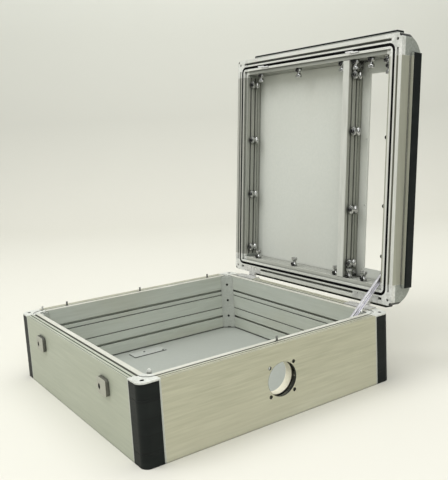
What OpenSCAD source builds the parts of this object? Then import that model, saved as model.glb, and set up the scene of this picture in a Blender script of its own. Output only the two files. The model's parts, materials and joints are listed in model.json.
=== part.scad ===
/* [Box] */
// Outside length of the box, along the hinge line
box_l = 560; // [460:1:800]
// Outside depth of the box, from the lock side to the hinge side
box_d = 544; // [460:1:800]
// Height of the box walls
box_h = 140; // [130:1:200]
// Thickness of a hollow wall
wall_t = 28; // [26:0.5:32]
// Outer skin of a wall
skin_out = 2.5; // [2:0.1:3.5]
// Inner skin of a wall
skin_in = 3.2; // [3:0.1:4]
// Web between the two chambers of a wall
web_t = 2; // [1.5:0.1:4]
// Solid rim above the upper chamber
rim_block = 13; // [12:0.5:16]
// Solid foot below the lower chamber
foot_block = 6; // [5:0.5:9]

/* [Wall slots] */
// Drop of the upper T-slot below the rim
slot_drop = 38.4; // [30:0.1:44]
// Height of the lower T-slot above the base
slot_rise = 34; // [26:0.5:40]
// Mouth of a T-slot
slot_mouth = 5.5; // [4:0.1:7]
// Pocket of a T-slot behind its mouth
slot_pocket = 9; // [8:0.1:11]
// Depth of a T-slot from the inner face
slot_depth = 9; // [7:0.1:10]
// Lip in front of the pocket
slot_lip = 2; // [1.5:0.1:3]
// Metal around a pocket
slot_metal = 2.5; // [1.5:0.1:3]
// Drop of the upper line groove below the rim
line_drop = 50; // [46:0.5:60]
// Height of the lower line groove above the base
line_rise = 57; // [46:0.5:62]
// Width of a line groove
line_w = 2.6; // [1:0.1:4]
// Depth of a line groove
line_depth = 2.4; // [0.5:0.1:2.4]

/* [Rim] */
// Inset of the hairline groove
rim_line_a = 1.5; // [1:0.1:2.5]
// Width of the hairline groove
rim_line_w = 1; // [0.5:0.1:1.5]
// Depth of the hairline groove
rim_line_depth = 1.5; // [0.5:0.1:3]
// Inset of the narrow deep groove
rim_slit_a = 7; // [5:0.1:8]
// Width of the narrow deep groove
rim_slit_w = 2.5; // [1:0.1:4]
// Depth of the narrow deep groove
rim_slit_depth = 6; // [3:0.1:8]
// Inset of the wide groove that holds the rim pins
rim_wide_a = 14; // [13:0.1:15]
// Width of the wide groove
rim_wide_w = 5; // [4.4:0.1:6]
// Depth of the wide groove
rim_wide_depth = 4; // [2:0.1:6]
// Radius of a rim pin
rim_pin_r = 2; // [1:0.1:2.1]
// Height of a rim pin above the rim
rim_pin_up = 9; // [3:0.1:9.5]
// Distances of two rim pins from the lock-side end of the plain wall
rim_pin_plain = [40.5, 95]; // [40:0.5:140]
// Place of the third rim pin from the middle of the plain wall
rim_pin_middle = 1; // [-60:1:60]
// Distance of the fourth rim pin from the hinge-side end of the plain wall
rim_pin_hinge = 83; // [40:0.5:140]
// Place of the rim pin along the coupling wall
rim_pin_coupling = 4; // [-100:1:100]

/* [Corners] */
// Length of a corner zone between the wall ends and the outer corner
corner_zone = 38; // [36:0.5:46]
// Length of each leg of a corner cover
cover_leg = 35; // [30:0.5:35]
// Thickness of a corner cover
cover_t = 3; // [2:0.1:4]
// Outer radius of a corner cover
cover_r = 14; // [8:0.5:18]
// Height of the lowest seam on a cover
cover_seam_lo = 23; // [10:0.5:40]
// Drop of the upper seam below the cover's top
cover_seam_hi = 27; // [10:0.5:40]
// Width of a seam on a cover
cover_seam_w = 0.6; // [0.3:0.1:1.5]
// Thickness of the casting that closes the rim at a corner
rim_cast_t = 2.5; // [2:0.1:4]
// Radius of the inner edge of that casting
rim_cast_r = 10; // [6:0.5:10]
// Radius of the hole in that casting
rim_hole_r = 3; // [2:0.1:4]
// Inset of that hole from both outer faces
rim_hole_at = 13; // [12:0.5:15]
// Reach of the slanted inner face of a post along both walls
post_reach = 22; // [20:0.5:26]
// Lowest screw hole of a post
post_hole_z = 35; // [25:0.5:45]
// Spacing of the screw holes of a post
post_hole_pitch = 41; // [30:0.5:44]
// Radius of a screw hole of a post
post_hole_r = 2.2; // [1.5:0.1:3]
// Depth of a screw hole of a post
post_hole_depth = 8; // [5:0.5:12]
// Width of the notch in the foot of a post
post_notch_w = 9; // [5:0.5:12]
// Height of that notch above the floor
post_notch_h = 3.5; // [2:0.1:6]
// Depth of that notch
post_notch_depth = 4; // [2:0.5:6]
// Width of the round-topped tab on a post
tab_w = 7; // [5:0.1:7]
// Thickness of that tab
tab_t = 2.5; // [1.5:0.1:2.5]
// Height of that tab above the rim
tab_up = 5.2; // [3:0.1:5.4]

/* [Floor] */
// Thickness of the back panel that forms the floor, flush under the walls
panel_t = 3; // [2:0.1:4]
// Overlap of the panel under the walls
panel_lap = 5.5; // [4:0.1:6]
// Width of the small plate on the floor
floor_plate_w = 32; // [20:0.5:50]
// Length of the small plate on the floor
floor_plate_l = 80; // [40:0.5:110]
// Thickness of the small plate on the floor
floor_plate_t = 2; // [1:0.1:2.5]
// Gap between the small plate and the plain wall
floor_plate_gap = 21; // [12:0.5:40]
// Place of the small plate along the plain wall
floor_plate_y = -14; // [-100:0.5:100]
// Radius of the two holes in the small plate
floor_hole_r = 3; // [1.5:0.1:4]
// Distance of the near hole from the plate's lock-side end
floor_hole_near = 33; // [10:0.5:36]
// Distance of the far hole from the plate's hinge-side end
floor_hole_far = 6; // [5:0.5:20]
// Distance of the near hole from the plate's left edge
floor_hole_left = 11; // [5:0.5:15]
// Distance of the far hole from the plate's right edge
floor_hole_right = 5; // [4.5:0.5:12]

/* [Coupling hole] */
// Radius of the coupling bore
coupling_r = 31; // [22:0.5:31]
// Height of the coupling bore
coupling_z = 75; // [70:0.5:80]
// Thickness of the liner ring
liner_t = 3.7; // [2.5:0.1:4.5]
// Distance of the liner's outer end from the outside face
liner_a = 12.5; // [6:0.5:18]
// Thickness of the liner's flange
liner_flange_t = 2; // [1:0.1:3]
// Width of the liner's flange beyond the ring
liner_flange_w = 4; // [2:0.1:6]
// Spacing of the bolt holes
bolt_spacing = 52.5; // [50:0.5:56]
// Radius of a bolt hole
bolt_r = 3; // [2:0.1:3.5]

/* [Locks] */
// Distance of each lock from the middle of the lock wall
lock_x = 152; // [100:1:200]
// Drop of the lock housing's middle below the rim
lock_drop = 38.5; // [34:0.5:42]
// Width of a lock housing
lock_w = 34.5; // [30:0.5:44]
// Height of a lock housing
lock_h = 29; // [26:0.5:36]
// Depth of a lock housing
lock_out = 7; // [4:0.5:10]
// Corner radius of a lock housing
lock_corner = 5; // [2:0.5:8]
// Offset of the barrel from the housing's middle
barrel_off = 8; // [4:0.5:8]
// Drop of the barrel below the housing's middle
barrel_low = 1.8; // [0:0.1:4]
// Radius of a barrel
barrel_r = 7; // [5:0.5:7]
// Length of the key slot
key_l = 11; // [5:0.5:11.5]
// Width of the key slot
key_w = 4.6; // [1:0.1:5]
// Depth of the key slot
key_depth = 4; // [1:0.5:5]
// Radius at which the cam carries its hook pin
cam_reach = 34.6; // [32:0.1:36]
// Thickness of a cam
cam_t = 2.5; // [2:0.1:4]
// Width of a cam
cam_w = 10; // [7:0.5:12]
// Radius of the hook pin
hook_r = 1.5; // [1:0.1:1.5]

/* [Lid] */
// Inset of the lid's outline from the box's outline
lid_inset = 6; // [5:0.5:7]
// Depth of the lid
lid_t = 57; // [55:0.5:70]
// Gap between the lid's rim and the box's rim when shut
rim_gap = 1; // [0.8:0.1:2]
// Opening angle of the lid in the photographed pose
lid_open = 94.5; // [80:0.5:110]
// Width of a lid rail from its outline to its inner wall
rail_w = 36; // [35:0.5:42]
// Skin of a lid rail
rail_skin = 2.5; // [2:0.1:3.5]
// Solid rim of a lid rail
rail_block = 13; // [12.5:0.5:15]
// Radius of the front edge of a lid rail
rail_front_r = 6; // [2:0.5:8]
// Inset of the lip's inner edge
lip_w = 28; // [27:0.5:29]
// Drop of the ledge behind the lip
ledge_drop = 5; // [5:0.1:8]
// Width of the rim groove of the lid
groove_w = 5.4; // [5:0.1:8]
// Depth of the rim groove of the lid
groove_depth = 10.5; // [10:0.1:11]
// Inset of the gasket's middle line
gasket_in = 20; // [19.5:0.1:20.5]
// Width of the gasket's groove
gasket_groove = 6; // [5:0.1:6]
// Depth of the gasket's groove
gasket_sink = 6; // [4:0.1:7]
// Width of the gasket
gasket_w = 5; // [3:0.1:5.4]
// Height by which the gasket stands proud
gasket_proud = 0.7; // [0.2:0.1:0.7]
// Corner radius of the gasket's middle line
gasket_r = 12; // [8:0.5:16]
// Place of the inner T-slot of a rail below the rim
rail_slot_in = 15.5; // [15:0.5:17]
// Place of the outer T-slot of a rail below the rim
rail_slot_out = 28.5; // [27:0.5:30]
// Place of the line groove in a rail's inner wall below the rim
rail_line_at = 36.5; // [35:0.5:40]
// Width of that line groove
rail_line_w = 1.6; // [0.8:0.1:2.4]
// Depth of that line groove
rail_line_depth = 2; // [0.5:0.1:3]
// Place of the web between a rail's chambers below the rim
rail_web = 27; // [26:0.5:28]
// Mouth of a rail's T-slot
rail_mouth = 4; // [3:0.1:5]
// Pocket of a rail's T-slot
rail_pocket = 7; // [6:0.1:8]
// Depth of a rail's T-slot
rail_slot_depth = 8; // [6:0.1:9]
// Inner face of the panels below the rim
panel_at = 46; // [45:0.5:47]
// Thickness of the lid panels
lid_panel_t = 3; // [2:0.1:4]
// Width of the flange that the panels lie on
flange_w = 4; // [3:0.5:6]
// Thickness of that flange
flange_t = 3.5; // [2:0.1:4]

/* [Lid corners] */
// Length of each leg of a corner casting
lid_zone = 42; // [40:0.5:50]
// Corner radius of the lid's outline
lid_corner_r = 10; // [6:0.5:14]
// Depth at which a casting starts to round off
round_from = 20; // [10:0.5:24]
// Radius of that rounding across the corner
round_r = 39; // [38:0.5:60]
// Radius of the hole in a casting
cast_hole_r = 3; // [2:0.1:4]
// Inset of that hole from both edges
cast_hole_at = 11; // [9:0.5:12]
// Depth of that hole
cast_hole_depth = 14; // [6:0.5:16]

/* [Grip strips] */
// Depth below the rim at which a strip and the ridge under it start
strip_at = 26; // [25:0.5:32]
// Height of a strip's section
strip_h = 18.5; // [12:0.5:20]
// Reach of a strip beyond the lid's outline
strip_out = 12.5; // [11:0.5:14]
// Reach of the ridge that carries a strip
ridge_out = 8.5; // [5:0.5:9]
// Distance of a strip's end from the lid's corner
strip_end = 36; // [26:0.5:40]
// Radius of a strip's long edges
strip_edge = 1.5; // [0.5:0.1:2]
// Radius of a strip's ends
strip_end_r = 2; // [0.5:0.1:2.4]

/* [Divider and plates] */
// Distance of the divider's left side from the right rail
divider_x = 129; // [112:1:160]
// Width of the divider's body
divider_w = 17.5; // [15:0.5:24]
// Inner face of the divider below the rim
divider_at = 4.5; // [3:0.5:8]
// Skin of the divider
divider_skin = 2.5; // [2:0.1:3]
// Width of the flange that holds the main panel
divider_flange_w = 20; // [10:0.5:26]
// Thickness of that flange
divider_flange_t = 3; // [2:0.1:4]
// Thickness of the rib between the two plates
divider_rib = 3; // [2:0.1:5]
// Width of the divider's front flange
divider_front_w = 24; // [16:0.5:30]
// Length of an end bracket along the divider
bracket_l = 15; // [10:0.5:16]
// Place of the brackets' upper edge below the rim
bracket_at = 34; // [33.5:0.5:37]
// Width of an end bracket
bracket_w = 16; // [12:0.5:22]
// Radius of the brackets' screw heads
bracket_screw_r = 3; // [2:0.1:4]
// Height of the brackets' screw heads
bracket_screw_h = 2; // [1:0.1:3]
// Thickness of an end bracket
bracket_t = 2; // [1.5:0.1:3]
// Distance of the window from the divider
window_x = 23.5; // [13:0.5:33]
// Width of the window
window_w = 64; // [40:0.5:66]
// Distance of the window from the hinge-side edge
window_v = 57; // [50:0.5:80]
// Length of the window
window_l = 412; // [280:0.5:415]
// Radius of the small holes beside the window
plate_hole_r = 1.8; // [1:0.1:2.2]
// Distance of those holes from the window's side
plate_hole_gap = 5; // [4:0.1:8]
// Distance of the outer holes past the window's ends
plate_hole_past = 5; // [3:0.1:9]

/* [Clamps] */
// Length of a clamp along its rail
clamp_l = 13; // [8:0.5:14]
// Reach of a clamp from its rail
clamp_out = 14; // [10:0.5:15]
// Place of a clamp's front below the rim
clamp_at = 12.5; // [10:0.5:13]
// Height of a clamp across its slot
clamp_h = 20.5; // [18:0.5:21]
// Height of the waist in a clamp's middle
clamp_waist_h = 7; // [5:0.5:10]
// Length of that waist along the rail
clamp_waist_l = 7; // [6:0.5:10]
// Radius of a clamp's screw
clamp_screw_r = 2.4; // [1.5:0.1:2.8]
// Radius of a clamp screw's head
clamp_head_r = 4.6; // [3:0.1:4.8]
// Radius of the socket in that head
clamp_socket_r = 2.6; // [1:0.1:2.8]
// Depth of that socket
clamp_socket_depth = 2; // [1:0.1:2.4]
// Height of a clamp screw's head
clamp_head_h = 3; // [2:0.1:3]
// Distance of the outer side clamps from the lid's edge
clamp_end = 60; // [58:0.5:70]
// Distance of the lowest clamp beside the stay from the lid's edge
clamp_stay_end = 95; // [90:0.5:110]
// Place of the first clamp past the inner corner
clamp_corner = 44; // [24:0.5:60]
// Distance of the last clamp of the main bay from the divider
clamp_main_gap = 15; // [10:0.5:30]
// Distance of the first clamp of the window bay from the divider
clamp_window_gap = 9.5; // [9:0.5:20]
// Distance of the last clamp of the window bay from the right rail
clamp_window_end = 13; // [13:0.5:24]
// Inner places of the divider's clamps from its middle
clamp_div_in = 83; // [60:0.5:100]
// Distance of the outer divider clamps from the rails
clamp_div_out = 30; // [24:0.5:60]

/* [Hinges] */
// Distance of each hinge's middle from the end of the box
hinge_x = 79; // [79:1:160]
// Length of a hinge
hinge_l = 72; // [50:0.5:72]
// Distance of the hinge axis from the box's outside face
hinge_out = 6.5; // [6:0.1:8]
// Radius of a knuckle
knuckle_r = 4.5; // [4:0.1:5]
// Radius of a hinge pin
pin_r = 2.5; // [1.5:0.1:2.6]
// Thickness of a hinge leaf
leaf_t = 4; // [3:0.1:4.4]
// Width of a hinge leaf on its rim
leaf_w = 14; // [12:0.1:14]
// Radius of a pin's head
pin_head_r = 3.6; // [3:0.1:4.2]
// Height of a pin's head
pin_head_h = 1.2; // [0.8:0.1:2]
// Spacing of a leaf's screws
leaf_screw_pitch = 26; // [18:0.5:28]
// Radius of a leaf screw's head
leaf_head_r = 3.2; // [2.5:0.1:3.6]
// Height of a leaf screw's head
leaf_head_h = 2.5; // [1.5:0.1:2.5]
// Radius of a leaf screw
leaf_screw_r = 2; // [1.2:0.1:2.2]
// Depth of a leaf screw below its leaf
leaf_screw_deep = 6; // [3:0.1:6.5]

/* [Stay] */
// Distance of the stay's pivot from the lid's hinge-side edge
stay_v = 56; // [56:0.5:62]
// Slope of the arm below the level in the photographed pose
stay_slope = 39.7; // [39:0.1:41]
// Length of the arm below its pivot
stay_l = 150; // [146:0.5:153]
// Length of the arm beyond its pivot
stay_top = 7; // [6:0.1:8]
// Width of the arm's channel
stay_w = 11; // [9:0.1:11]
// Depth of the arm's channel
stay_depth = 4.8; // [3:0.1:5.5]
// Sheet thickness of the arm
stay_sheet = 1.5; // [1:0.1:2]
// Radius of the stay's pivot
stay_pivot_r = 3; // [2:0.1:3]
// Distance of the wall stud from the pivot along the arm
stay_stud_at = 140; // [136:0.5:144]
// Thickness of the stay's bracket
stay_plate = 1.4; // [1:0.1:2]

/* [Fits] */
// Radial clearance of pins and barrels that turn
run_gap = 0.05; // [0.02:0.01:0.1]
// End clearance of pieces that turn
end_gap = 0.3; // [0.2:0.05:0.5]
// Clearance of pieces that are fixed in a seat
seat_gap = 0.2; // [0.1:0.05:0.3]

/* [Hidden] */
$fn = 64;
over = 1;
half_l = box_l / 2;
half_d = box_d / 2;
web_z = box_h / 2;
slot_hi_z = box_h - slot_drop;
line_hi_z = box_h - line_drop;
rim_pin_a = rim_wide_a + rim_wide_w / 2;
post_top = box_h - rim_cast_t;
post_sum = 2 * wall_t + post_reach;
post_face = post_sum / sqrt(2);
tab_set = 0.5;
inner_x = half_l - wall_t;

lid_l = box_l - 2 * lid_inset;
lid_d = box_d - 2 * lid_inset;
lid_half_l = lid_l / 2;
lid_half_d = lid_d / 2;
rim_z = box_h + rim_gap;
groove_mid = rim_pin_a - lid_inset;
groove_run = 15;
rail_in_x = lid_half_l - rail_w;
rail_in_y = lid_half_d - rail_w;
flange_at = panel_at + lid_panel_t;

lock_z = box_h - lock_drop;
barrel_z = lock_z - barrel_low;
tongue_t = 2;
tongue_gap = 1;
tongue_a = wall_t + tongue_gap;
cam_a = tongue_a + tongue_t + 2 * tongue_gap;
jaw_t = 3;
jaw_run = 9;
hook_clear = 0.3;
jaw_mid = jaw_run + hook_r;
jaw_top = barrel_z + sqrt(cam_reach * cam_reach - jaw_mid * jaw_mid) - hook_r - hook_clear;
catch_l = 26;
catch_left = 20;
catch_foot_t = 2;
catch_foot_w0 = gasket_in + gasket_groove / 2;
notch_past = 6;

hinge_mid = half_l - hinge_x;
hinge_y = half_d + hinge_out;
hinge_z = box_h - knuckle_r;
knuckle_third = hinge_l / 3;
leaf_screw_a = leaf_w / 2;
arm_back = 4;
arm_front = 0.5;

divider_left = rail_in_x - divider_x;
divider_right = divider_left + divider_w;
divider_mid = (divider_left + divider_right) / 2;
divider_end = rail_in_y - over;
main_right = divider_mid - divider_rib / 2 - seat_gap;
window_left = divider_mid + divider_rib / 2 + seat_gap;
window_from = divider_right + window_x;
clamp_axis = clamp_out - clamp_l / 2;
clamp_div_end = rail_in_y - clamp_div_out;
panel_edge = rail_w + seat_gap;

stay_x = rail_in_x - stay_plate - end_gap - stay_depth;
stay_py = lid_half_d - stay_v;
stay_pz = rim_z + rail_slot_in;
stay_oy = hinge_y + (stay_py - hinge_y) * cos(lid_open) + (stay_pz - hinge_z) * sin(lid_open);
stay_oz = hinge_z - (stay_py - hinge_y) * sin(lid_open) + (stay_pz - hinge_z) * cos(lid_open);
stud_y = stay_oy - stay_stud_at * cos(stay_slope);
stud_z = stay_oz - stay_stud_at * sin(stay_slope);

// Sides in turn: lock, coupling, hinge, plain
LOCK = 0;
COUPLING = 1;
HINGE = 2;
PLAIN = 3;

// Puts a piece drawn for the lock side on the given side; y is then the inset from that side's face
module on_side(side, l, d) {
    rotate([0, 0, 90 * side])
        translate([0, -(side % 2 == 0 ? d : l) / 2, 0])
            children();
}

// Puts a piece drawn in a corner; x and y are then the insets from the two faces
module on_corner(sx, sy, l, d) {
    translate([sx * l / 2, sy * d / 2, 0])
        mirror([sx > 0 ? 1 : 0, 0, 0])
            mirror([0, sy > 0 ? 1 : 0, 0])
                children();
}

// Runs a section along x; its own x becomes the inset and its y the height
module run(len) {
    translate([-len / 2, 0, 0])
        rotate([90, 0, 90])
            linear_extrude(len)
                children();
}

// Turns what is drawn on the shut lid to the photographed pose
module lid_pose() {
    translate([0, hinge_y, hinge_z])
        rotate([-lid_open, 0, 0])
            translate([0, -hinge_y, -hinge_z])
                children();
}

// Square with one round corner at the origin
module corner_square(size, r) {
    translate([r, r]) circle(r);
    translate([r, 0]) square([size - r, size]);
    translate([0, r]) square([size, size - r]);
}

// Rectangle about the origin with round corners
module round_rect(l, w, r) {
    square([l - 2 * r, w], center = true);
    square([l, w - 2 * r], center = true);
    for (sx = [-1, 1], sy = [-1, 1])
        translate([sx * (l / 2 - r), sy * (w / 2 - r)]) circle(r);
}

// Long hole along x from x0 to x1
module stadium(x0, x1, r) {
    translate([x0, 0]) circle(r);
    translate([x1, 0]) circle(r);
    translate([x0, -r]) square([x1 - x0, 2 * r]);
}

// Space of a T-slot whose mouth lies on x = 0 and opens towards +x
module slot_space(mouth, pocket, depth, lip) {
    translate([-lip - over, -mouth / 2]) square([lip + 2 * over, mouth]);
    translate([-depth, -pocket / 2]) square([depth - lip, pocket]);
}

// Metal that stays around a T-slot's pocket
module slot_shell(pocket, depth, metal) {
    translate([-depth - metal, -pocket / 2 - metal]) square([depth + metal + over, pocket + 2 * metal]);
}

// Groove in the rim of a wall
module rim_groove(a, w, depth) {
    translate([a, box_h - depth]) square([w, depth + over]);
}

// Section of a wall: inset from the outer face along x, height along y
module wall_section() {
    chamber_w = wall_t - skin_out - skin_in;
    difference() {
        square([wall_t, box_h]);
        difference() {
            union() {
                translate([skin_out, foot_block]) square([chamber_w, web_z - web_t / 2 - foot_block]);
                translate([skin_out, web_z + web_t / 2])
                    square([chamber_w, box_h - rim_block - web_z - web_t / 2]);
            }
            for (z = [slot_rise, slot_hi_z])
                translate([wall_t, z]) slot_shell(slot_pocket, slot_depth, slot_metal);
        }
        for (z = [slot_rise, slot_hi_z])
            translate([wall_t, z]) slot_space(slot_mouth, slot_pocket, slot_depth, slot_lip);
        for (z = [panel_t + line_w / 2, line_rise, line_hi_z])
            translate([wall_t - line_depth, z - line_w / 2]) square([line_depth + over, line_w]);
        rim_groove(rim_line_a, rim_line_w, rim_line_depth);
        rim_groove(rim_slit_a, rim_slit_w, rim_slit_depth);
        rim_groove(rim_wide_a, rim_wide_w, rim_wide_depth);
        translate([wall_t - panel_lap - seat_gap, -over])
            square([panel_lap + seat_gap + over, panel_t + over]);
    }
}

module wall(side) {
    len = (side % 2 == 0 ? box_l : box_d) - 2 * corner_zone;
    on_side(side, box_l, box_d) run(len) wall_section();
}

// Screw holes of a hinge leaf, drawn along y downwards from the leaf's outer face
module leaf_screw(head_r, head_h, screw_r, deep) {
    translate([0, 0, -head_h]) cylinder(r = head_r, h = head_h);
    translate([0, 0, -deep]) cylinder(r = screw_r, h = deep - head_h / 2);
}

// Places of the screws of both box leaves
module box_leaf_screws(head_r, head_h, screw_r, deep) {
    for (sx = [-1, 1], i = [-1, 0, 1])
        translate([sx * hinge_mid + i * leaf_screw_pitch, half_d - leaf_screw_a, box_h])
            leaf_screw(head_r, head_h, screw_r, deep);
}

// Places of the screws of both lid leaves, on the shut lid
module lid_leaf_screws(head_r, head_h, screw_r, deep) {
    for (sx = [-1, 1], i = [-1, 0, 1])
        translate([sx * hinge_mid + i * leaf_screw_pitch, lid_half_d - leaf_screw_a, rim_z])
            mirror([0, 0, 1]) leaf_screw(head_r, head_h, screw_r, deep);
}

module wall_hinge_side() {
    color("#9c9987") difference() {
        wall(HINGE);
        for (sx = [-1, 1])
            translate([sx * hinge_mid - hinge_l / 2 - seat_gap, half_d - leaf_w - seat_gap, box_h - leaf_t])
                cube([hinge_l + 2 * seat_gap, leaf_w + seat_gap + over, leaf_t + over]);
        box_leaf_screws(leaf_screw_r, leaf_t,
            leaf_screw_r + seat_gap / 2, leaf_t + leaf_screw_deep + over / 2);
    }
}

module wall_lock_side() {
    color("#9c9987") difference() {
        wall(LOCK);
        for (sx = [-1, 1])
            translate([sx * lock_x - barrel_off, -half_d - over, barrel_z])
                rotate([-90, 0, 0]) cylinder(r = barrel_r + end_gap, h = wall_t + 2 * over);
    }
}

module wall_coupling_side() {
    color("#9c9987") difference() {
        wall(COUPLING);
        translate([half_l - wall_t - over, 0, coupling_z]) rotate([0, 90, 0]) {
            cylinder(r = coupling_r, h = wall_t + 2 * over);
            cylinder(r = coupling_r + liner_t + seat_gap, h = wall_t - skin_out + over);
        }
        for (sy = [-1, 1], sz = [-1, 1])
            translate([half_l - skin_out - over, sy * bolt_spacing / 2, coupling_z + sz * bolt_spacing / 2])
                rotate([0, 90, 0]) cylinder(r = bolt_r, h = skin_out + 2 * over);
    }
}

module wall_plain_side() {
    color("#9c9987") wall(PLAIN);
}

// Plan of a corner post: insets from the two outer faces along x and y
module post_plan() {
    c = cover_t + seat_gap;
    lip = corner_zone - cover_leg - seat_gap;
    difference() {
        union() {
            translate([c, c]) corner_square(corner_zone - c, cover_r - c);
            translate([corner_zone - lip, 0]) square([lip, corner_zone]);
            translate([0, corner_zone - lip]) square([corner_zone, lip]);
            polygon([[wall_t, wall_t], [wall_t + post_reach, wall_t], [wall_t, wall_t + post_reach]]);
        }
        translate([rim_hole_at - rim_hole_r - over, rim_hole_at - rim_hole_r - over])
            square(wall_t - rim_hole_at + rim_hole_r - over);
    }
}

module corner_post(sx, sy) {
    color("#c9c9c4") on_corner(sx, sy, box_l, box_d) {
        difference() {
            linear_extrude(post_top) post_plan();
            translate([wall_t - panel_lap - seat_gap, wall_t - panel_lap - seat_gap, -over])
                cube([box_h, box_h, panel_t + over]);
            for (i = [0, 1, 2])
                rotate([0, 0, 45])
                    translate([post_face - post_hole_depth, 0, post_hole_z + i * post_hole_pitch])
                        rotate([0, 90, 0]) cylinder(r = post_hole_r, h = post_hole_depth + over);
            rotate([0, 0, 45]) translate([post_face - post_notch_depth, -post_notch_w / 2, panel_t - over])
                cube([post_notch_depth + over, post_notch_w, post_notch_h + over]);
        }
        rotate([0, 0, 45])
            translate([post_face - tab_set - tab_t, 0, post_top - over])
                rotate([90, 0, 90]) linear_extrude(tab_t) {
                    top = over + rim_cast_t + tab_up - tab_w / 2;
                    translate([-tab_w / 2, 0]) square([tab_w, top]);
                    translate([0, top]) circle(tab_w / 2);
                }
    }
}

module corner_cover(sx, sy) {
    color("#26272b") on_corner(sx, sy, box_l, box_d)
        difference() {
            linear_extrude(post_top) difference() {
                corner_square(cover_leg, cover_r);
                translate([cover_t, cover_t]) corner_square(cover_leg, cover_r - cover_t);
            }
            for (z = [cover_seam_lo, post_top - cover_seam_hi])
                translate([0, 0, z]) linear_extrude(cover_seam_w) difference() {
                    translate([-over, -over]) square(cover_leg + 2 * over);
                    translate([cover_seam_w, cover_seam_w]) corner_square(cover_leg, cover_r - cover_seam_w);
                }
        }
}

module rim_corner(sx, sy) {
    groove_deep = rim_cast_t / 2;
    color("#d8d8d4") on_corner(sx, sy, box_l, box_d)
        translate([0, 0, post_top]) difference() {
            linear_extrude(rim_cast_t) difference() {
                corner_square(corner_zone, cover_r);
                translate([corner_zone, corner_zone]) circle(rim_cast_r);
                translate([rim_hole_at, rim_hole_at]) circle(rim_hole_r);
            }
            translate([corner_zone, corner_zone, rim_cast_t - groove_deep])
                linear_extrude(groove_deep + over) difference() {
                    circle(corner_zone - rim_wide_a);
                    circle(corner_zone - rim_wide_a - rim_wide_w);
                }
        }
}

module back_panel() {
    size = [box_l - 2 * (wall_t - panel_lap), box_d - 2 * (wall_t - panel_lap)];
    color("#b9bab6") translate([-size[0] / 2, -size[1] / 2, 0])
        cube([size[0], size[1], panel_t]);
}

module floor_plate() {
    color("#c4c5c2")
        translate([-inner_x + floor_plate_gap, floor_plate_y - floor_plate_l / 2, panel_t])
            linear_extrude(floor_plate_t) difference() {
                square([floor_plate_w, floor_plate_l]);
                translate([floor_hole_left, floor_hole_near]) circle(floor_hole_r);
                translate([floor_plate_w - floor_hole_right, floor_plate_l - floor_hole_far])
                    circle(floor_hole_r);
            }
}

module coupling_liner() {
    r = coupling_r + liner_t;
    color("#e8e2cc") translate([inner_x, 0, coupling_z]) rotate([0, 90, 0]) difference() {
        union() {
            cylinder(r = r, h = wall_t - liner_a);
            translate([0, 0, -liner_flange_t]) cylinder(r = r + liner_flange_w, h = liner_flange_t);
        }
        translate([0, 0, -liner_flange_t - over])
            cylinder(r = coupling_r, h = wall_t - liner_a + liner_flange_t + 2 * over);
    }
}

module rim_pins() {
    h = rim_wide_depth + rim_pin_up;
    color("#b5b5b0") {
        for (y = [for (pin = rim_pin_plain) -half_d + pin, rim_pin_middle, half_d - rim_pin_hinge])
            translate([-half_l + rim_pin_a, y, box_h - rim_wide_depth]) cylinder(r = rim_pin_r, h = h);
        translate([half_l - rim_pin_a, rim_pin_coupling, box_h - rim_wide_depth])
            cylinder(r = rim_pin_r, h = h);
    }
}

module lock_housing(sx) {
    color("#a3a297") translate([sx * lock_x, -half_d, lock_z]) rotate([90, 0, 0]) difference() {
        linear_extrude(lock_out) round_rect(lock_w, lock_h, lock_corner);
        translate([-barrel_off, -barrel_low, -over])
            cylinder(r = barrel_r + run_gap, h = lock_out + 2 * over);
    }
}

// Barrel with its cam level, which is the unlocked place; the axis runs along y
module lock_barrel(sx) {
    color("#35363a") translate([sx * lock_x - barrel_off, -half_d, barrel_z]) {
        difference() {
            translate([0, -lock_out, 0]) rotate([-90, 0, 0]) cylinder(r = barrel_r, h = lock_out + cam_a);
            translate([-key_w / 2, -lock_out - over, -key_l / 2]) cube([key_w, key_depth + over, key_l]);
        }
        translate([0, cam_a + cam_t, 0]) rotate([90, 0, 0]) linear_extrude(cam_t) {
            circle(barrel_r);
            stadium(0, cam_reach, cam_w / 2);
        }
        translate([cam_reach, tongue_a - tongue_gap / 2, 0]) rotate([-90, 0, 0])
            cylinder(r = hook_r, h = cam_a - tongue_a + tongue_gap);
    }
}

// Middle or outer parts of a hinge's knuckle row as ranges along x
function knuckle_from(i) = -hinge_l / 2 + i * knuckle_third + (i == 0 ? 0 : end_gap / 2);
function knuckle_len(i) = knuckle_third - (i == 1 ? end_gap : end_gap / 2);

module hinge_leaf_box(sx) {
    color("#b7b8b5") translate([sx * hinge_mid, 0, 0]) difference() {
        union() {
            translate([-hinge_l / 2, half_d - leaf_w, box_h - leaf_t]) cube([hinge_l, leaf_w, leaf_t]);
            for (i = [0, 2]) translate([knuckle_from(i), 0, 0]) {
                translate([0, half_d - over, box_h - leaf_t])
                    cube([knuckle_len(i), hinge_out + over, leaf_t]);
                translate([0, hinge_y, hinge_z]) rotate([0, 90, 0])
                    cylinder(r = knuckle_r, h = knuckle_len(i));
            }
        }
        translate([-hinge_l / 2 - over, hinge_y, hinge_z]) rotate([0, 90, 0])
            cylinder(r = pin_r + run_gap, h = hinge_l + 2 * over);
        translate([-sx * hinge_mid, 0, 0])
            box_leaf_screws(leaf_head_r + seat_gap / 2, leaf_head_h,
                leaf_screw_r + seat_gap / 2, leaf_t + over);
    }
}

module hinge_pin(sx) {
    color("#8f9092") translate([sx * hinge_mid, hinge_y, hinge_z]) rotate([0, 90, 0]) {
        cylinder(r = pin_r, h = hinge_l + 2 * run_gap, center = true);
        for (s = [0, 1]) mirror([0, 0, s])
            translate([0, 0, hinge_l / 2 + run_gap]) cylinder(r = pin_head_r, h = pin_head_h);
    }
}

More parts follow.
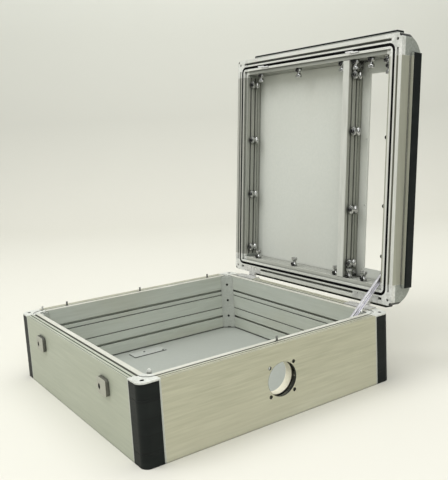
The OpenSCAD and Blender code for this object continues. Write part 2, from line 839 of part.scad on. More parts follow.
module hinge_screws_box() {
    color("#8f9092") box_leaf_screws(leaf_head_r, leaf_head_h, leaf_screw_r, leaf_t + leaf_screw_deep);
}

// Stud on the coupling wall that guides the stay
module stay_stud() {
    tip = rail_in_x - stay_plate - end_gap + over + seat_gap;
    foot_r = 2 * stay_pivot_r;
    foot_t = 2;
    color("#b7b8b5") translate([inner_x, stud_y, stud_z]) rotate([0, -90, 0]) {
        cylinder(r = foot_r, h = foot_t);
        cylinder(r = stay_pivot_r, h = inner_x - tip);
    }
}

// Section of a lid rail: inset from the outline along x, depth below the rim along y
module rail_section(grooved) {
    chamber_w = rail_w - rail_slot_depth - rail_skin - rail_skin;
    side_line = 2;
    difference() {
        union() {
            square([rail_w, lid_t - rail_front_r]);
            translate([rail_front_r, 0]) square([rail_w - rail_front_r, lid_t]);
            translate([rail_front_r, lid_t - rail_front_r]) circle(rail_front_r);
            translate([rail_w - over, flange_at]) square([flange_w + over, flange_t]);
            translate([-ridge_out, strip_at]) square([ridge_out + over, strip_h]);
        }
        translate([-ridge_out + rail_skin, strip_at + rail_skin])
            square([ridge_out - rail_skin, strip_h - 2 * rail_skin]);
        translate([lip_w, -over]) square([rail_w - lip_w + over, ledge_drop + over]);
        translate([rail_skin, rail_block]) square([chamber_w, rail_web - web_t / 2 - rail_block]);
        translate([rail_skin, rail_web + web_t / 2])
            square([chamber_w, lid_t - rail_front_r - rail_web - web_t / 2]);
        translate([rail_w - rail_line_depth, rail_line_at - rail_line_w / 2])
            square([rail_line_depth + over, rail_line_w]);
        for (d = [rail_slot_in, rail_slot_out])
            translate([rail_w, d]) slot_space(rail_mouth, rail_pocket, rail_slot_depth, slot_lip);
        translate([gasket_in - gasket_groove / 2, -over]) square([gasket_groove, gasket_sink + over]);
        if (grooved) rail_groove();
        for (d = [strip_at - side_line - over, strip_at + strip_h + over])
            translate([-over, d]) square([over + rim_line_w, side_line]);
    }
}

// Groove in the lid's rim that the rim pins enter
module rail_groove() {
    translate([groove_mid - groove_w / 2, -over]) square([groove_w, groove_depth + over]);
}

module lid_rail(side, grooved) {
    len = (side % 2 == 0 ? lid_l : lid_d) - 2 * lid_zone;
    translate([0, 0, rim_z]) on_side(side, lid_l, lid_d) run(len) rail_section(grooved);
}

// Pockets for the catches' feet
module catch_pockets() {
    for (sx = [-1, 1])
        translate([sx * lock_x - catch_left - seat_gap, -lid_half_d + catch_foot_w0, rim_z - over])
            cube([catch_l + 2 * seat_gap, lip_w - catch_foot_w0 + over, catch_foot_t + over]);
}

// Pockets for the lid leaves of the hinges, in the rail and in the corners that they reach
module lid_leaf_pockets() {
    for (sx = [-1, 1])
        translate([sx * hinge_mid - hinge_l / 2 - seat_gap, lid_half_d - leaf_w - seat_gap, rim_z - over])
            cube([hinge_l + 2 * seat_gap, leaf_w + seat_gap + over, leaf_t + over]);
}

module lid_rail_hinge() {
    color("#a9a899") lid_pose() difference() {
        lid_rail(HINGE, false);
        difference() {
            translate([0, 0, rim_z]) on_side(HINGE, lid_l, lid_d) run(lid_l) rail_groove();
            for (sx = [-1, 1])
                translate([sx * hinge_mid - hinge_l / 2 - over, lid_half_d - rail_w, 0])
                    cube([hinge_l + 2 * over, rail_w + over, rim_z + lid_t]);
        }
        lid_leaf_pockets();
        lid_leaf_screws(leaf_screw_r, leaf_t,
            leaf_screw_r + seat_gap / 2, leaf_t + leaf_screw_deep + seat_gap);
    }
}

module lid_rail_lock() {
    color("#a9a899") lid_pose() difference() {
        lid_rail(LOCK, true);
        catch_pockets();
    }
}

module lid_rail_left() {
    color("#a9a899") lid_pose() lid_rail(PLAIN, true);
}

module lid_rail_right() {
    color("#a9a899") lid_pose() lid_rail(COUPLING, true);
}

// Frame along the gasket's middle line, as wide as given
module gasket_frame(w) {
    difference() {
        round_rect(lid_l - 2 * gasket_in + w, lid_d - 2 * gasket_in + w, gasket_r + w / 2);
        round_rect(lid_l - 2 * gasket_in - w, lid_d - 2 * gasket_in - w, gasket_r - w / 2);
    }
}

// Leg plan of a corner casting up to the given inset
module leg_plan(inset) {
    difference() {
        corner_square(lid_zone, lid_corner_r);
        translate([inset, inset]) square(lid_zone);
    }
}

// Space kept by a casting: rounded off across its corner towards the lid's front
module round_off() {
    start = lid_corner_r * (sqrt(2) - 1);
    wide = 2 * lid_zone;
    rotate([0, 0, 45]) translate([0, wide, 0]) rotate([90, 0, 0]) linear_extrude(2 * wide) {
        translate([0, 0]) square([2 * wide, round_from]);
        translate([start + round_r, round_from]) circle(round_r);
        translate([start + round_r, 0]) square([2 * wide, lid_t]);
    }
}

module lid_corner(sx, sy) {
    color("#d6d6d2") lid_pose() difference() {
        translate([0, 0, rim_z]) on_corner(sx, sy, lid_l, lid_d) difference() {
            intersection() {
                union() {
                    linear_extrude(ledge_drop) leg_plan(lip_w);
                    translate([0, 0, ledge_drop]) linear_extrude(lid_t - ledge_drop) leg_plan(rail_w);
                    translate([0, 0, flange_at]) linear_extrude(flange_t) leg_plan(rail_w + flange_w);
                    for (m = [0, 1]) mirror([m, -m, 0]) translate([strip_end, -ridge_out, strip_at])
                        cube([lid_zone - strip_end, ridge_out + over, strip_h]);
                }
                round_off();
            }
            translate([cast_hole_at, cast_hole_at, -over])
                cylinder(r = cast_hole_r, h = cast_hole_depth + over);
            translate([lid_zone - groove_run, groove_mid - groove_w / 2, -over])
                cube([groove_run + over, groove_w, groove_depth + over]);
            translate([groove_mid - groove_w / 2, lid_zone - groove_run, -over])
                cube([groove_w, groove_run + over, groove_depth + over]);
        }
        translate([0, 0, rim_z - over]) linear_extrude(gasket_sink + over) gasket_frame(gasket_groove);
        lid_leaf_pockets();
    }
}

module grip_strip(side) {
    len = (side % 2 == 0 ? lid_l : lid_d) - 2 * strip_end;
    thick = strip_out - ridge_out;
    color("#232428") lid_pose() translate([0, 0, rim_z]) on_side(side, lid_l, lid_d) intersection() {
        run(len) {
            translate([-strip_out + strip_edge, strip_at]) square([thick - strip_edge, strip_h]);
            translate([-strip_out, strip_at + strip_edge]) square([thick, strip_h - 2 * strip_edge]);
            for (d = [strip_at + strip_edge, strip_at + strip_h - strip_edge])
                translate([-strip_out + strip_edge, d]) circle(strip_edge);
        }
        translate([0, 0, strip_at - over]) linear_extrude(strip_h + 2 * over) {
            translate([-len / 2 + strip_end_r, -strip_out]) square([len - 2 * strip_end_r, thick]);
            translate([-len / 2, -strip_out + strip_end_r]) square([len, thick - strip_end_r]);
            for (s = [-1, 1])
                translate([s * (len / 2 - strip_end_r), -strip_out + strip_end_r]) circle(strip_end_r);
        }
    }
}

module lid_gasket() {
    color("#1b1b1d") lid_pose() translate([0, 0, rim_z - gasket_proud])
        linear_extrude(gasket_sink + gasket_proud) gasket_frame(gasket_w);
}

// Section of the divider bar: place across the lid along x, depth below the rim along y
module divider_section() {
    deep = panel_at - divider_at;
    difference() {
        union() {
            translate([divider_left, divider_at]) square([divider_w, deep]);
            translate([divider_mid - divider_rib / 2, panel_at - over])
                square([divider_rib, lid_panel_t + over]);
        }
        translate([divider_left + divider_skin, divider_at + divider_skin])
            square([divider_w - rail_slot_depth - 2 * divider_skin, deep - 2 * divider_skin]);
        for (d = [rail_slot_in, rail_slot_out])
            translate([divider_right, d]) slot_space(rail_mouth, rail_pocket, rail_slot_depth, slot_lip);
        translate([divider_right - rail_line_depth, rail_line_at - rail_line_w / 2])
            square([rail_line_depth + over, rail_line_w]);
    }
}

// Runs a section along y; its own x stays and its y becomes the depth below the rim
module run_across(len) {
    translate([0, len / 2, rim_z]) rotate([90, 0, 0]) linear_extrude(len) children();
}

module divider_bar() {
    flange_len = 2 * (divider_end - clamp_out - bracket_t - 2 * over);
    front_len = 2 * (rail_in_y - flange_w - seat_gap);
    color("#b4b4a8") lid_pose() {
        run_across(2 * divider_end) divider_section();
        run_across(front_len) {
            translate([divider_mid - divider_rib / 2, panel_at]) square([divider_rib, lid_panel_t + over]);
            translate([divider_mid - divider_front_w / 2, flange_at]) square([divider_front_w, flange_t]);
        }
        run_across(flange_len)
            translate([divider_left - divider_flange_w, panel_at - divider_flange_t])
                square([divider_flange_w + over, divider_flange_t]);
    }
}

// Angle brackets that tie the divider's window side to the rails
module divider_brackets() {
    high = panel_at - bracket_at - 2 * over;
    color("#dcdcd8") lid_pose() for (s = [0, 1]) mirror([0, s, 0])
        translate([divider_right, rail_in_y, rim_z + bracket_at + over]) {
            translate([0, -bracket_l, 0]) cube([bracket_t, bracket_l, high]);
            translate([0, -bracket_t, 0]) cube([bracket_w, bracket_t, high]);
            translate([bracket_t - over / 2, -(bracket_l + bracket_t) / 2, high / 2])
                rotate([0, 90, 0]) cylinder(r = bracket_screw_r, h = bracket_screw_h + over / 2);
            translate([(bracket_w + bracket_t) / 2, -bracket_t + over / 2, high / 2])
                rotate([90, 0, 0]) cylinder(r = bracket_screw_r, h = bracket_screw_h + over / 2);
        }
}

module main_panel() {
    left = -lid_half_l + panel_edge;
    color("#cfd0ce") lid_pose()
        translate([left, -lid_half_d + panel_edge, rim_z + panel_at])
            cube([main_right - left, lid_d - 2 * panel_edge, lid_panel_t]);
}

module window_plate() {
    right = lid_half_l - panel_edge;
    hole_step = (window_l + 2 * plate_hole_past) / 3;
    color("#c9cac8") lid_pose() translate([0, lid_half_d, rim_z + panel_at]) difference() {
        translate([window_left, -lid_d + panel_edge, 0])
            cube([right - window_left, lid_d - 2 * panel_edge, lid_panel_t]);
        translate([window_from, -window_v - window_l, -over])
            cube([window_w, window_l, lid_panel_t + 2 * over]);
        for (i = [0:3], x = [window_from - plate_hole_gap, window_from + window_w + plate_hole_gap])
            translate([x, -window_v + plate_hole_past - i * hole_step, -over])
                cylinder(r = plate_hole_r, h = lid_panel_t + 2 * over);
    }
}

// Clamps and their screws are drawn for a rail along x; y is then the distance from the rail's inner wall
module clamp_plan(l) {
    translate([-l / 2, 0]) square([l, clamp_axis]);
    translate([0, clamp_axis]) circle(l / 2, $fn = 24);
}

// Two round-ended lobes with a waist between them, and a T-head in the rail's slot
module clamp_body() {
    tongue_h = rail_mouth - 2 * end_gap;
    head_h = rail_pocket - 2 * end_gap;
    head_y = slot_lip + end_gap;
    lobe_h = (clamp_h - clamp_waist_h) / 2;
    difference() {
        union() {
            translate([0, 0, clamp_at]) {
                linear_extrude(lobe_h) clamp_plan(clamp_l);
                linear_extrude(clamp_h) clamp_plan(clamp_waist_l);
                translate([0, 0, clamp_h - lobe_h]) linear_extrude(lobe_h) clamp_plan(clamp_l);
            }
            translate([-clamp_l / 2, -head_y - over, rail_slot_out - tongue_h / 2])
                cube([clamp_l, head_y + 2 * over, tongue_h]);
            translate([-clamp_l / 2, -rail_slot_depth + end_gap, rail_slot_out - head_h / 2])
                cube([clamp_l, rail_slot_depth - end_gap - head_y, head_h]);
        }
        translate([0, clamp_axis, 0]) cylinder(r = clamp_screw_r + seat_gap / 2, h = lid_t, $fn = 24);
    }
}

module clamp_screw() {
    $fn = 24;
    head_z = clamp_at - clamp_head_h;
    translate([0, clamp_axis, head_z]) {
        difference() {
            cylinder(r = clamp_head_r, h = clamp_head_h);
            translate([0, 0, -over]) cylinder(r = clamp_socket_r, h = clamp_socket_depth + over);
        }
        translate([0, 0, clamp_head_h - over / 2])
            cylinder(r = clamp_screw_r, h = panel_at - clamp_at + over / 2);
    }
}

// Places of all clamps: on the four rails and on the divider's window side
module each_clamp() {
    main_from = -rail_in_x + clamp_corner;
    main_to = divider_left - clamp_main_gap;
    window_in = divider_right + clamp_window_gap;
    window_out = rail_in_x - clamp_window_end;
    bay = [main_from, (main_from + main_to) / 2, main_to, window_in, (window_in + window_out) / 2];
    side_to = lid_half_d - clamp_end;
    side = [-side_to, -side_to / 3, side_to / 3];
    translate([0, 0, rim_z]) {
        for (u = bay) {
            translate([u, -rail_in_y, 0]) children();
            translate([u, rail_in_y, 0]) rotate([0, 0, 180]) children();
        }
        translate([window_out, -rail_in_y, 0]) children();
        for (y = side) {
            translate([-rail_in_x, y, 0]) rotate([0, 0, -90]) children();
            translate([rail_in_x, y, 0]) rotate([0, 0, 90]) children();
        }
        translate([-rail_in_x, side_to, 0]) rotate([0, 0, -90]) children();
        translate([rail_in_x, lid_half_d - clamp_stay_end, 0]) rotate([0, 0, 90]) children();
        for (y = [-clamp_div_end, -clamp_div_in, clamp_div_in, clamp_div_end])
            translate([divider_right, y, 0]) rotate([0, 0, -90]) children();
    }
}

module panel_clamps() {
    color("#d2d3d4") lid_pose() each_clamp() clamp_body();
}

module clamp_screws() {
    color("#c0c1c3") lid_pose() each_clamp() clamp_screw();
}

// Catch on the lid's lock side: a foot in the rim and a hook plate that hangs into the box when shut
module lid_catch(sx) {
    plate_y = -half_d + tongue_a;
    plate_top = rim_z + catch_foot_t;
    plate_low = jaw_top - jaw_t;
    axis = sx * lock_x - barrel_off;
    left = sx * lock_x - catch_left;
    right = left + catch_l;
    notch_top = barrel_z + cam_reach + hook_r + over;
    color("#e4e4e1") lid_pose() {
        translate([left, -lid_half_d + catch_foot_w0 + seat_gap, rim_z])
            cube([catch_l, lip_w - catch_foot_w0 - seat_gap, catch_foot_t]);
        translate([0, plate_y + tongue_t, 0]) rotate([90, 0, 0]) linear_extrude(tongue_t) difference() {
            translate([left, plate_low]) square([catch_l, plate_top - plate_low]);
            translate([axis - notch_past, jaw_top])
                square([right - axis + notch_past + over, notch_top - jaw_top]);
            translate([axis + jaw_run, plate_low - over])
                square([right - axis - jaw_run + over, jaw_top - plate_low + 2 * over]);
        }
    }
}

module hinge_leaf_lid(sx) {
    arm_l = knuckle_len(1);
    color("#b7b8b5") lid_pose() translate([sx * hinge_mid, 0, 0]) difference() {
        union() {
            translate([-hinge_l / 2, lid_half_d - leaf_w, rim_z]) cube([hinge_l, leaf_w, leaf_t]);
            translate([knuckle_from(1), lid_half_d - over, rim_z])
                cube([arm_l, hinge_y + arm_front - lid_half_d + over, leaf_t]);
            translate([knuckle_from(1), hinge_y - arm_back, hinge_z])
                cube([arm_l, arm_back + arm_front, rim_z + leaf_t - hinge_z]);
            translate([knuckle_from(1), hinge_y, hinge_z]) rotate([0, 90, 0])
                cylinder(r = knuckle_r, h = arm_l);
        }
        translate([-hinge_l / 2, hinge_y, hinge_z]) rotate([0, 90, 0])
            cylinder(r = pin_r + run_gap, h = hinge_l);
        translate([-sx * hinge_mid, 0, 0])
            lid_leaf_screws(leaf_head_r + seat_gap / 2, leaf_head_h,
                leaf_screw_r + seat_gap / 2, leaf_t + over);
    }
}

module hinge_screws_lid() {
    color("#8f9092") lid_pose()
        lid_leaf_screws(leaf_head_r, leaf_head_h, leaf_screw_r, leaf_t + leaf_screw_deep);
}

// Three-cornered plate on the right rail with the pivot of the stay
module stay_bracket() {
    foot = 20;
    reach = 8;
    head_r = stay_pivot_r + stay_sheet;
    head_t = 2;
    pin_l = stay_plate + end_gap + stay_depth + end_gap;
    color("#c6c7c8") lid_pose() translate([rail_in_x, stay_py, stay_pz]) rotate([0, -90, 0]) {
        linear_extrude(stay_plate)
            polygon([[-reach, -foot], [reach + ledge_drop, -foot / 2],
                [reach + ledge_drop, foot / 2], [-reach, foot]]);
        cylinder(r = stay_pivot_r, h = pin_l + head_t / 2);
        translate([0, 0, pin_l]) cylinder(r = head_r, h = head_t);
    }
}

// Channel-shaped stay arm in the photographed pose
module stay_arm() {
    slot_r = 1.4;
    slot_run = 6;
    slot_first = 52;
    slot_pitch = 12;
    color("#cdcecf") translate([stay_x, stay_oy, stay_oz])
        rotate([180 + stay_slope, 0, 0]) rotate([90, 0, 90])
        difference() {
            linear_extrude(stay_depth) stadium(-stay_top + stay_w / 2, stay_l - stay_w / 2, stay_w / 2);
            translate([0, 0, stay_sheet]) linear_extrude(stay_depth)
                stadium(-stay_top + stay_w / 2, stay_l - stay_w / 2, stay_w / 2 - stay_sheet);
            translate([0, 0, -over]) linear_extrude(stay_depth) {
                circle(stay_pivot_r + run_gap);
                for (i = [0, 1])
                    translate([slot_first + i * slot_pitch, 0]) stadium(0, slot_run, slot_r);
            }
        }
}

wall_hinge_side();
wall_lock_side();
wall_coupling_side();
wall_plain_side();
corner_post(-1, -1);  // corner_post_lock_left
corner_post(1, -1);  // corner_post_lock_right
corner_post(-1, 1);  // corner_post_hinge_left
corner_post(1, 1);  // corner_post_hinge_right
corner_cover(-1, -1);  // corner_cover_lock_left
corner_cover(1, -1);  // corner_cover_lock_right
corner_cover(-1, 1);  // corner_cover_hinge_left
corner_cover(1, 1);  // corner_cover_hinge_right
rim_corner(-1, -1);  // rim_corner_lock_left
rim_corner(1, -1);  // rim_corner_lock_right
rim_corner(-1, 1);  // rim_corner_hinge_left
rim_corner(1, 1);  // rim_corner_hinge_right
back_panel();
floor_plate();
coupling_liner();
rim_pins();
lock_housing(-1);  // lock_housing_left
lock_housing(1);  // lock_housing_right
lock_barrel(-1);  // lock_barrel_left
lock_barrel(1);  // lock_barrel_right
hinge_leaf_box(-1);  // hinge_leaf_box_left
hinge_leaf_box(1);  // hinge_leaf_box_right
hinge_pin(-1);  // hinge_pin_left
hinge_pin(1);  // hinge_pin_right
hinge_screws_box();
stay_stud();
lid_rail_hinge();
lid_rail_lock();
lid_rail_left();
lid_rail_right();
lid_corner(-1, -1);  // lid_corner_lock_left
lid_corner(1, -1);  // lid_corner_lock_right
lid_corner(-1, 1);  // lid_corner_hinge_left
lid_corner(1, 1);  // lid_corner_hinge_right
grip_strip(HINGE);  // grip_strip_hinge
grip_strip(LOCK);  // grip_strip_lock
grip_strip(PLAIN);  // grip_strip_left
grip_strip(COUPLING);  // grip_strip_right
lid_gasket();
divider_bar();
divider_brackets();
main_panel();
window_plate();
panel_clamps();
clamp_screws();
lid_catch(-1);  // lid_catch_left
lid_catch(1);  // lid_catch_right
hinge_leaf_lid(-1);  // hinge_leaf_lid_left
hinge_leaf_lid(1);  // hinge_leaf_lid_right
hinge_screws_lid();
stay_bracket();
stay_arm();
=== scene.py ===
import json
import math

import bpy
import mathutils
import numpy as np
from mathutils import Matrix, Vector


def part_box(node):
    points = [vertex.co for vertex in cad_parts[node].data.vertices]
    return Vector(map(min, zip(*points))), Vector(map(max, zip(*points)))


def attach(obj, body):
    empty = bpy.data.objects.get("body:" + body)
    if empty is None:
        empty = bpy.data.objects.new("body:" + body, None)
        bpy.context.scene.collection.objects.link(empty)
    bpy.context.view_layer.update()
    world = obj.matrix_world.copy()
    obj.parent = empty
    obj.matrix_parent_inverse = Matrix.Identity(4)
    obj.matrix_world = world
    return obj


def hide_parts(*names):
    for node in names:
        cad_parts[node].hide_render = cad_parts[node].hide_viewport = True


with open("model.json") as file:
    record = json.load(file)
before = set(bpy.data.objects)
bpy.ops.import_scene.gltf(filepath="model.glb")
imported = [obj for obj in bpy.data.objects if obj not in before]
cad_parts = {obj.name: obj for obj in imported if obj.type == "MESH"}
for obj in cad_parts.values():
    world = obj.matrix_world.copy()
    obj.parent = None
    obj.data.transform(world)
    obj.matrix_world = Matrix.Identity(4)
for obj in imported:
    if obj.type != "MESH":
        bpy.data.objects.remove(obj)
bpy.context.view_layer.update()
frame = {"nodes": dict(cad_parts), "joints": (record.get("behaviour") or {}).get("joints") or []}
nodes = frame["nodes"]
joints = {j["name"]: j for j in frame["joints"]}
scene = bpy.context.scene
scene.view_settings.view_transform = "Standard"
print("frame loaded:", len(nodes), "pieces")

# lid frame: what is worked out on the shut lid is turned about the hinge line to the open rest pose
hingeLine = np.array(joints["lid_hinge"]["pos_m"])
lidOpen = math.radians(joints["lid_hinge"]["range_deg"][1])
lidLean = lidOpen - math.pi / 2


def turnLid(points, angle):
    # turn about the hinge line: y' = y cos + z sin, z' = -y sin + z cos, both counted from the line
    p = np.asarray(points, float) - hingeLine
    c, s = math.cos(angle), math.sin(angle)
    turned = np.stack([p[..., 0], p[..., 1] * c + p[..., 2] * s, -p[..., 1] * s + p[..., 2] * c], -1)
    return turned + hingeLine


def cornersOf(name):
    # all points of a piece
    mesh = nodes[name].data
    flat = np.empty(len(mesh.vertices) * 3)
    mesh.vertices.foreach_get("co", flat)
    return flat.reshape(-1, 3)


def shutBox(name):
    # lowest and highest corner of a lid piece once the lid is turned back shut
    points = turnLid(cornersOf(name), -lidOpen)
    return points.min(0), points.max(0)


def gridObject(name, grid, closeU=False, closeV=False):
    # a surface from an (m, n, 3) array of points: every cell of the grid becomes one quad
    m, n = grid.shape[:2]
    iu = np.arange(m if closeU else m - 1)
    iv = np.arange(n if closeV else n - 1)
    a, b = np.meshgrid(iu, iv, indexing="ij")
    u1, v1 = (a + 1) % m, (b + 1) % n
    faces = np.stack([a * n + b, u1 * n + b, u1 * n + v1, a * n + v1], -1).reshape(-1, 4)
    mesh = bpy.data.meshes.new(name)
    mesh.from_pydata(grid.reshape(-1, 3).tolist(), [], faces.tolist())
    mesh.polygons.foreach_set("use_smooth", np.full(len(faces), True))
    mesh.update()
    piece = bpy.data.objects.new(name, mesh)
    scene.collection.objects.link(piece)
    return piece


# values that all finishes share: noise detail, the spans of a field that count, samples and shares
grainSet = dict(
    broadDetail=3.0, broadRough=0.5, fineDetail=5.0, fineRough=0.6, grainSpan=(0.32, 0.68),
    stainSpan=(0.45, 0.75), edgeVarySpan=(0.3, 0.6), edgeVaryLeast=0.4, glossSpan=(0.3, 0.7),
    edgeSpan=(0.75, 0.995), edgeSamples=4, openSpan=(0.32, 0.9), openSamples=6, seamShare=0.7,
    seamCore=0.3)


def newMaterial(name):
    material = bpy.data.materials.new(name)
    material.use_nodes = True
    tree = material.node_tree
    return material, tree, tree.nodes["Principled BSDF"]


def addNode(tree, kind, **settings):
    node = tree.nodes.new(kind)
    for key, value in settings.items():
        if key in node.inputs:
            node.inputs[key].default_value = value
        else:
            setattr(node, key, value)
    return node


def noiseField(tree, scale, detail, rough, turn):
    # noise on object coordinates, with its own stretch along each axis
    coords = addNode(tree, "ShaderNodeTexCoord")
    place = addNode(tree, "ShaderNodeMapping")
    place.inputs["Rotation"].default_value = turn
    place.inputs["Scale"].default_value = scale
    noise = addNode(tree, "ShaderNodeTexNoise", Scale=1.0, Detail=detail, Roughness=rough)
    tree.links.new(coords.outputs["Object"], place.inputs["Vector"])
    tree.links.new(place.outputs["Vector"], noise.inputs["Vector"])
    return noise.outputs["Fac"]


def axesOf(tree, turn=(0, 0, 0)):
    # the object's own x, y and z, after a turn
    coords = addNode(tree, "ShaderNodeTexCoord")
    place = addNode(tree, "ShaderNodeMapping")
    place.inputs["Rotation"].default_value = turn
    parts = addNode(tree, "ShaderNodeSeparateXYZ")
    tree.links.new(coords.outputs["Object"], place.inputs["Vector"])
    tree.links.new(place.outputs["Vector"], parts.inputs["Vector"])
    return parts


def alongAxis(tree, axis, start, end, lean=0.0):
    # 0 before start, 1 after end, counted along one axis, leaned back with the lid if asked
    return spread(tree, axesOf(tree, (lean, 0, 0)).outputs[axis], 0.0, 1.0, start, end)


def spread(tree, field, low, high, start, end):
    # field from start..end mapped to low..high
    node = addNode(tree, "ShaderNodeMapRange")
    for key, value in (("From Min", start), ("From Max", end), ("To Min", low), ("To Max", high)):
        node.inputs[key].default_value = value
    tree.links.new(field, node.inputs["Value"])
    return node.outputs["Result"]


def mixColour(tree, amount, dark, light):
    # sockets 6 and 7 of the node take the two colours, as a value or as a link, and output 2 gives the mix
    node = addNode(tree, "ShaderNodeMix", data_type="RGBA")
    for socket, value in ((node.inputs[6], dark), (node.inputs[7], light)):
        if isinstance(value, tuple):
            socket.default_value = (*value, 1)
        else:
            tree.links.new(value, socket)
    tree.links.new(amount, node.inputs[0])
    return node.outputs[2]


def times(tree, a, b):
    # product of two factors, each a value or a link
    node = addNode(tree, "ShaderNodeMath", operation="MULTIPLY")
    for socket, value in ((node.inputs[0], a), (node.inputs[1], b)):
        if isinstance(value, (int, float)):
            socket.default_value = value
        else:
            tree.links.new(value, socket)
    return node.outputs[0]


def edgeField(tree, radius):
    # 0 on flats, towards 1 on edges: how far the rounded normal leans away from the true one
    soft = addNode(tree, "ShaderNodeBevel", samples=grainSet["edgeSamples"], Radius=radius)
    true = addNode(tree, "ShaderNodeNewGeometry")
    lean = addNode(tree, "ShaderNodeVectorMath", operation="DOT_PRODUCT")
    tree.links.new(soft.outputs["Normal"], lean.inputs[0])
    tree.links.new(true.outputs["Normal"], lean.inputs[1])
    return soft.outputs["Normal"], spread(tree, lean.outputs["Value"], 1.0, 0.0, *grainSet["edgeSpan"])


def recessShadeField(tree, reach):
    # painted shade: 0 in the open, towards 1 down in grooves and corners, where shade falls
    shade = addNode(tree, "ShaderNodeAmbientOcclusion", samples=grainSet["openSamples"], Distance=reach)
    return spread(tree, shade.outputs["AO"], 1.0, 0.0, *grainSet["openSpan"])


def diagonal(tree, parts):
    # (|x| - |y|) / sqrt 2
    folds = [addNode(tree, "ShaderNodeMath", operation="ABSOLUTE") for k in (0, 1)]
    less = addNode(tree, "ShaderNodeMath", operation="SUBTRACT")
    for k in (0, 1):
        tree.links.new(parts.outputs[k], folds[k].inputs[0])
        tree.links.new(folds[k].outputs[0], less.inputs[k])
    return times(tree, less.outputs[0], 1 / math.sqrt(2))


def holeShadeField(tree, spot):
    # painted shade in holes: 1 within a radius of a hole's axis: the coordinates across it are folded about
    # a middle, less a reach
    # the coordinate "diagonal" is how much further out in x than in y a place lies, for the slanted posts
    parts = axesOf(tree, spot["turn"])
    gather = addNode(tree, "ShaderNodeCombineXYZ")
    for k in (0, 1):
        shift = addNode(tree, "ShaderNodeMath", operation="SUBTRACT")
        shift.inputs[1].default_value = spot["middle"][k]
        fold = addNode(tree, "ShaderNodeMath", operation="ABSOLUTE")
        less = addNode(tree, "ShaderNodeMath", operation="SUBTRACT")
        less.inputs[1].default_value = spot["reach"][k]
        if spot["axes"][k] == "diagonal":
            tree.links.new(diagonal(tree, parts), shift.inputs[0])
        else:
            tree.links.new(parts.outputs[spot["axes"][k]], shift.inputs[0])
        tree.links.new(shift.outputs[0], fold.inputs[0])
        tree.links.new(fold.outputs[0], less.inputs[0])
        tree.links.new(less.outputs[0], gather.inputs[k])
    far = addNode(tree, "ShaderNodeVectorMath", operation="LENGTH")
    tree.links.new(gather.outputs[0], far.inputs[0])
    return spread(tree, far.outputs["Value"], 1.0, 0.0, spot["radius"], spot["radius"] + zoneSet["soft"])


def seamField(tree, axis, pitch, width):
    # 1 on thin lines a pitch apart along one axis
    wave = addNode(tree, "ShaderNodeMath", operation="PINGPONG")
    wave.inputs[1].default_value = pitch / 2
    tree.links.new(axesOf(tree).outputs[axis], wave.inputs[0])
    return spread(tree, wave.outputs[0], 1.0, 0.0, width * grainSet["seamCore"], width)


def surface(name, look, zones=(), spots=()):
    # one finish: grain and stains in the colour, worn edges with a painted highlight, painted shade in
    # grooves and corners, uneven gloss, fine bump
    # zones: (key, limit, ...): inside all limits the look's colours pass over to those under the key
    # spots: painted shade about the axes of holes
    material, tree, shader = newMaterial(name)
    turn = look.get("turn", (0, 0, 0))
    broad = noiseField(tree, look["broadScale"], grainSet["broadDetail"], grainSet["broadRough"], turn)
    fine = noiseField(tree, look["fineScale"], grainSet["fineDetail"], grainSet["fineRough"], turn)
    grain = spread(tree, fine, 0.0, 1.0, *grainSet["grainSpan"])
    tint = mixColour(tree, grain, look["dark"], look["light"])
    for key, *limits in zones:
        other = mixColour(tree, grain, look[key + "Dark"], look[key + "Light"])
        inside = alongAxis(tree, *limits[0])
        for limit in limits[1:]:
            inside = times(tree, inside, alongAxis(tree, *limit))
        tint = mixColour(tree, inside, tint, other)
    stained = spread(tree, broad, 0.0, look["stainAmount"], *grainSet["stainSpan"])
    tint = mixColour(tree, stained, tint, look["stain"])
    # edges: paler where worn, and paler still as a painted highlight along the edges
    soft, edge = edgeField(tree, look["edgeRadius"])
    most = look["edgeAmount"]
    wornAndLitEdge = spread(tree, broad, most * grainSet["edgeVaryLeast"], most, *grainSet["edgeVarySpan"])
    tint = mixColour(tree, times(tree, edge, wornAndLitEdge), tint, look["edge"])
    # painted shade in grooves and corners, near black, from how enclosed a place is
    recessShade = times(tree, recessShadeField(tree, look["recessShadeReach"]), look["recessShadeAmount"])
    tint = mixColour(tree, recessShade, tint, look["shadeAndSeam"])
    # painted shade in holes, in the same near black
    for spot in spots:
        tint = mixColour(tree, holeShadeField(tree, spot), tint, look["shadeAndSeam"])
    if "seams" in look:
        seam = times(tree, seamField(tree, *look["seams"]), grainSet["seamShare"])
        tint = mixColour(tree, seam, tint, look["shadeAndSeam"])
    tree.links.new(tint, shader.inputs["Base Color"])
    tree.links.new(spread(tree, fine, *look["rough"], *grainSet["glossSpan"]), shader.inputs["Roughness"])
    shader.inputs["Metallic"].default_value = look["metal"]
    shader.inputs["Specular IOR Level"].default_value = look["specular"]
    bump = addNode(tree, "ShaderNodeBump", Strength=look["bump"], Distance=look["bumpHeight"])
    tree.links.new(fine, bump.inputs["Height"])
    tree.links.new(soft, bump.inputs["Normal"])
    tree.links.new(bump.outputs["Normal"], shader.inputs["Normal"])
    return material


# shadeAndSeam: near black, painted shade in grooves, corners and holes, and the colour of the cover's seam
# lines
# finishes: colours are linear, scales are waves per metre along x, y and z

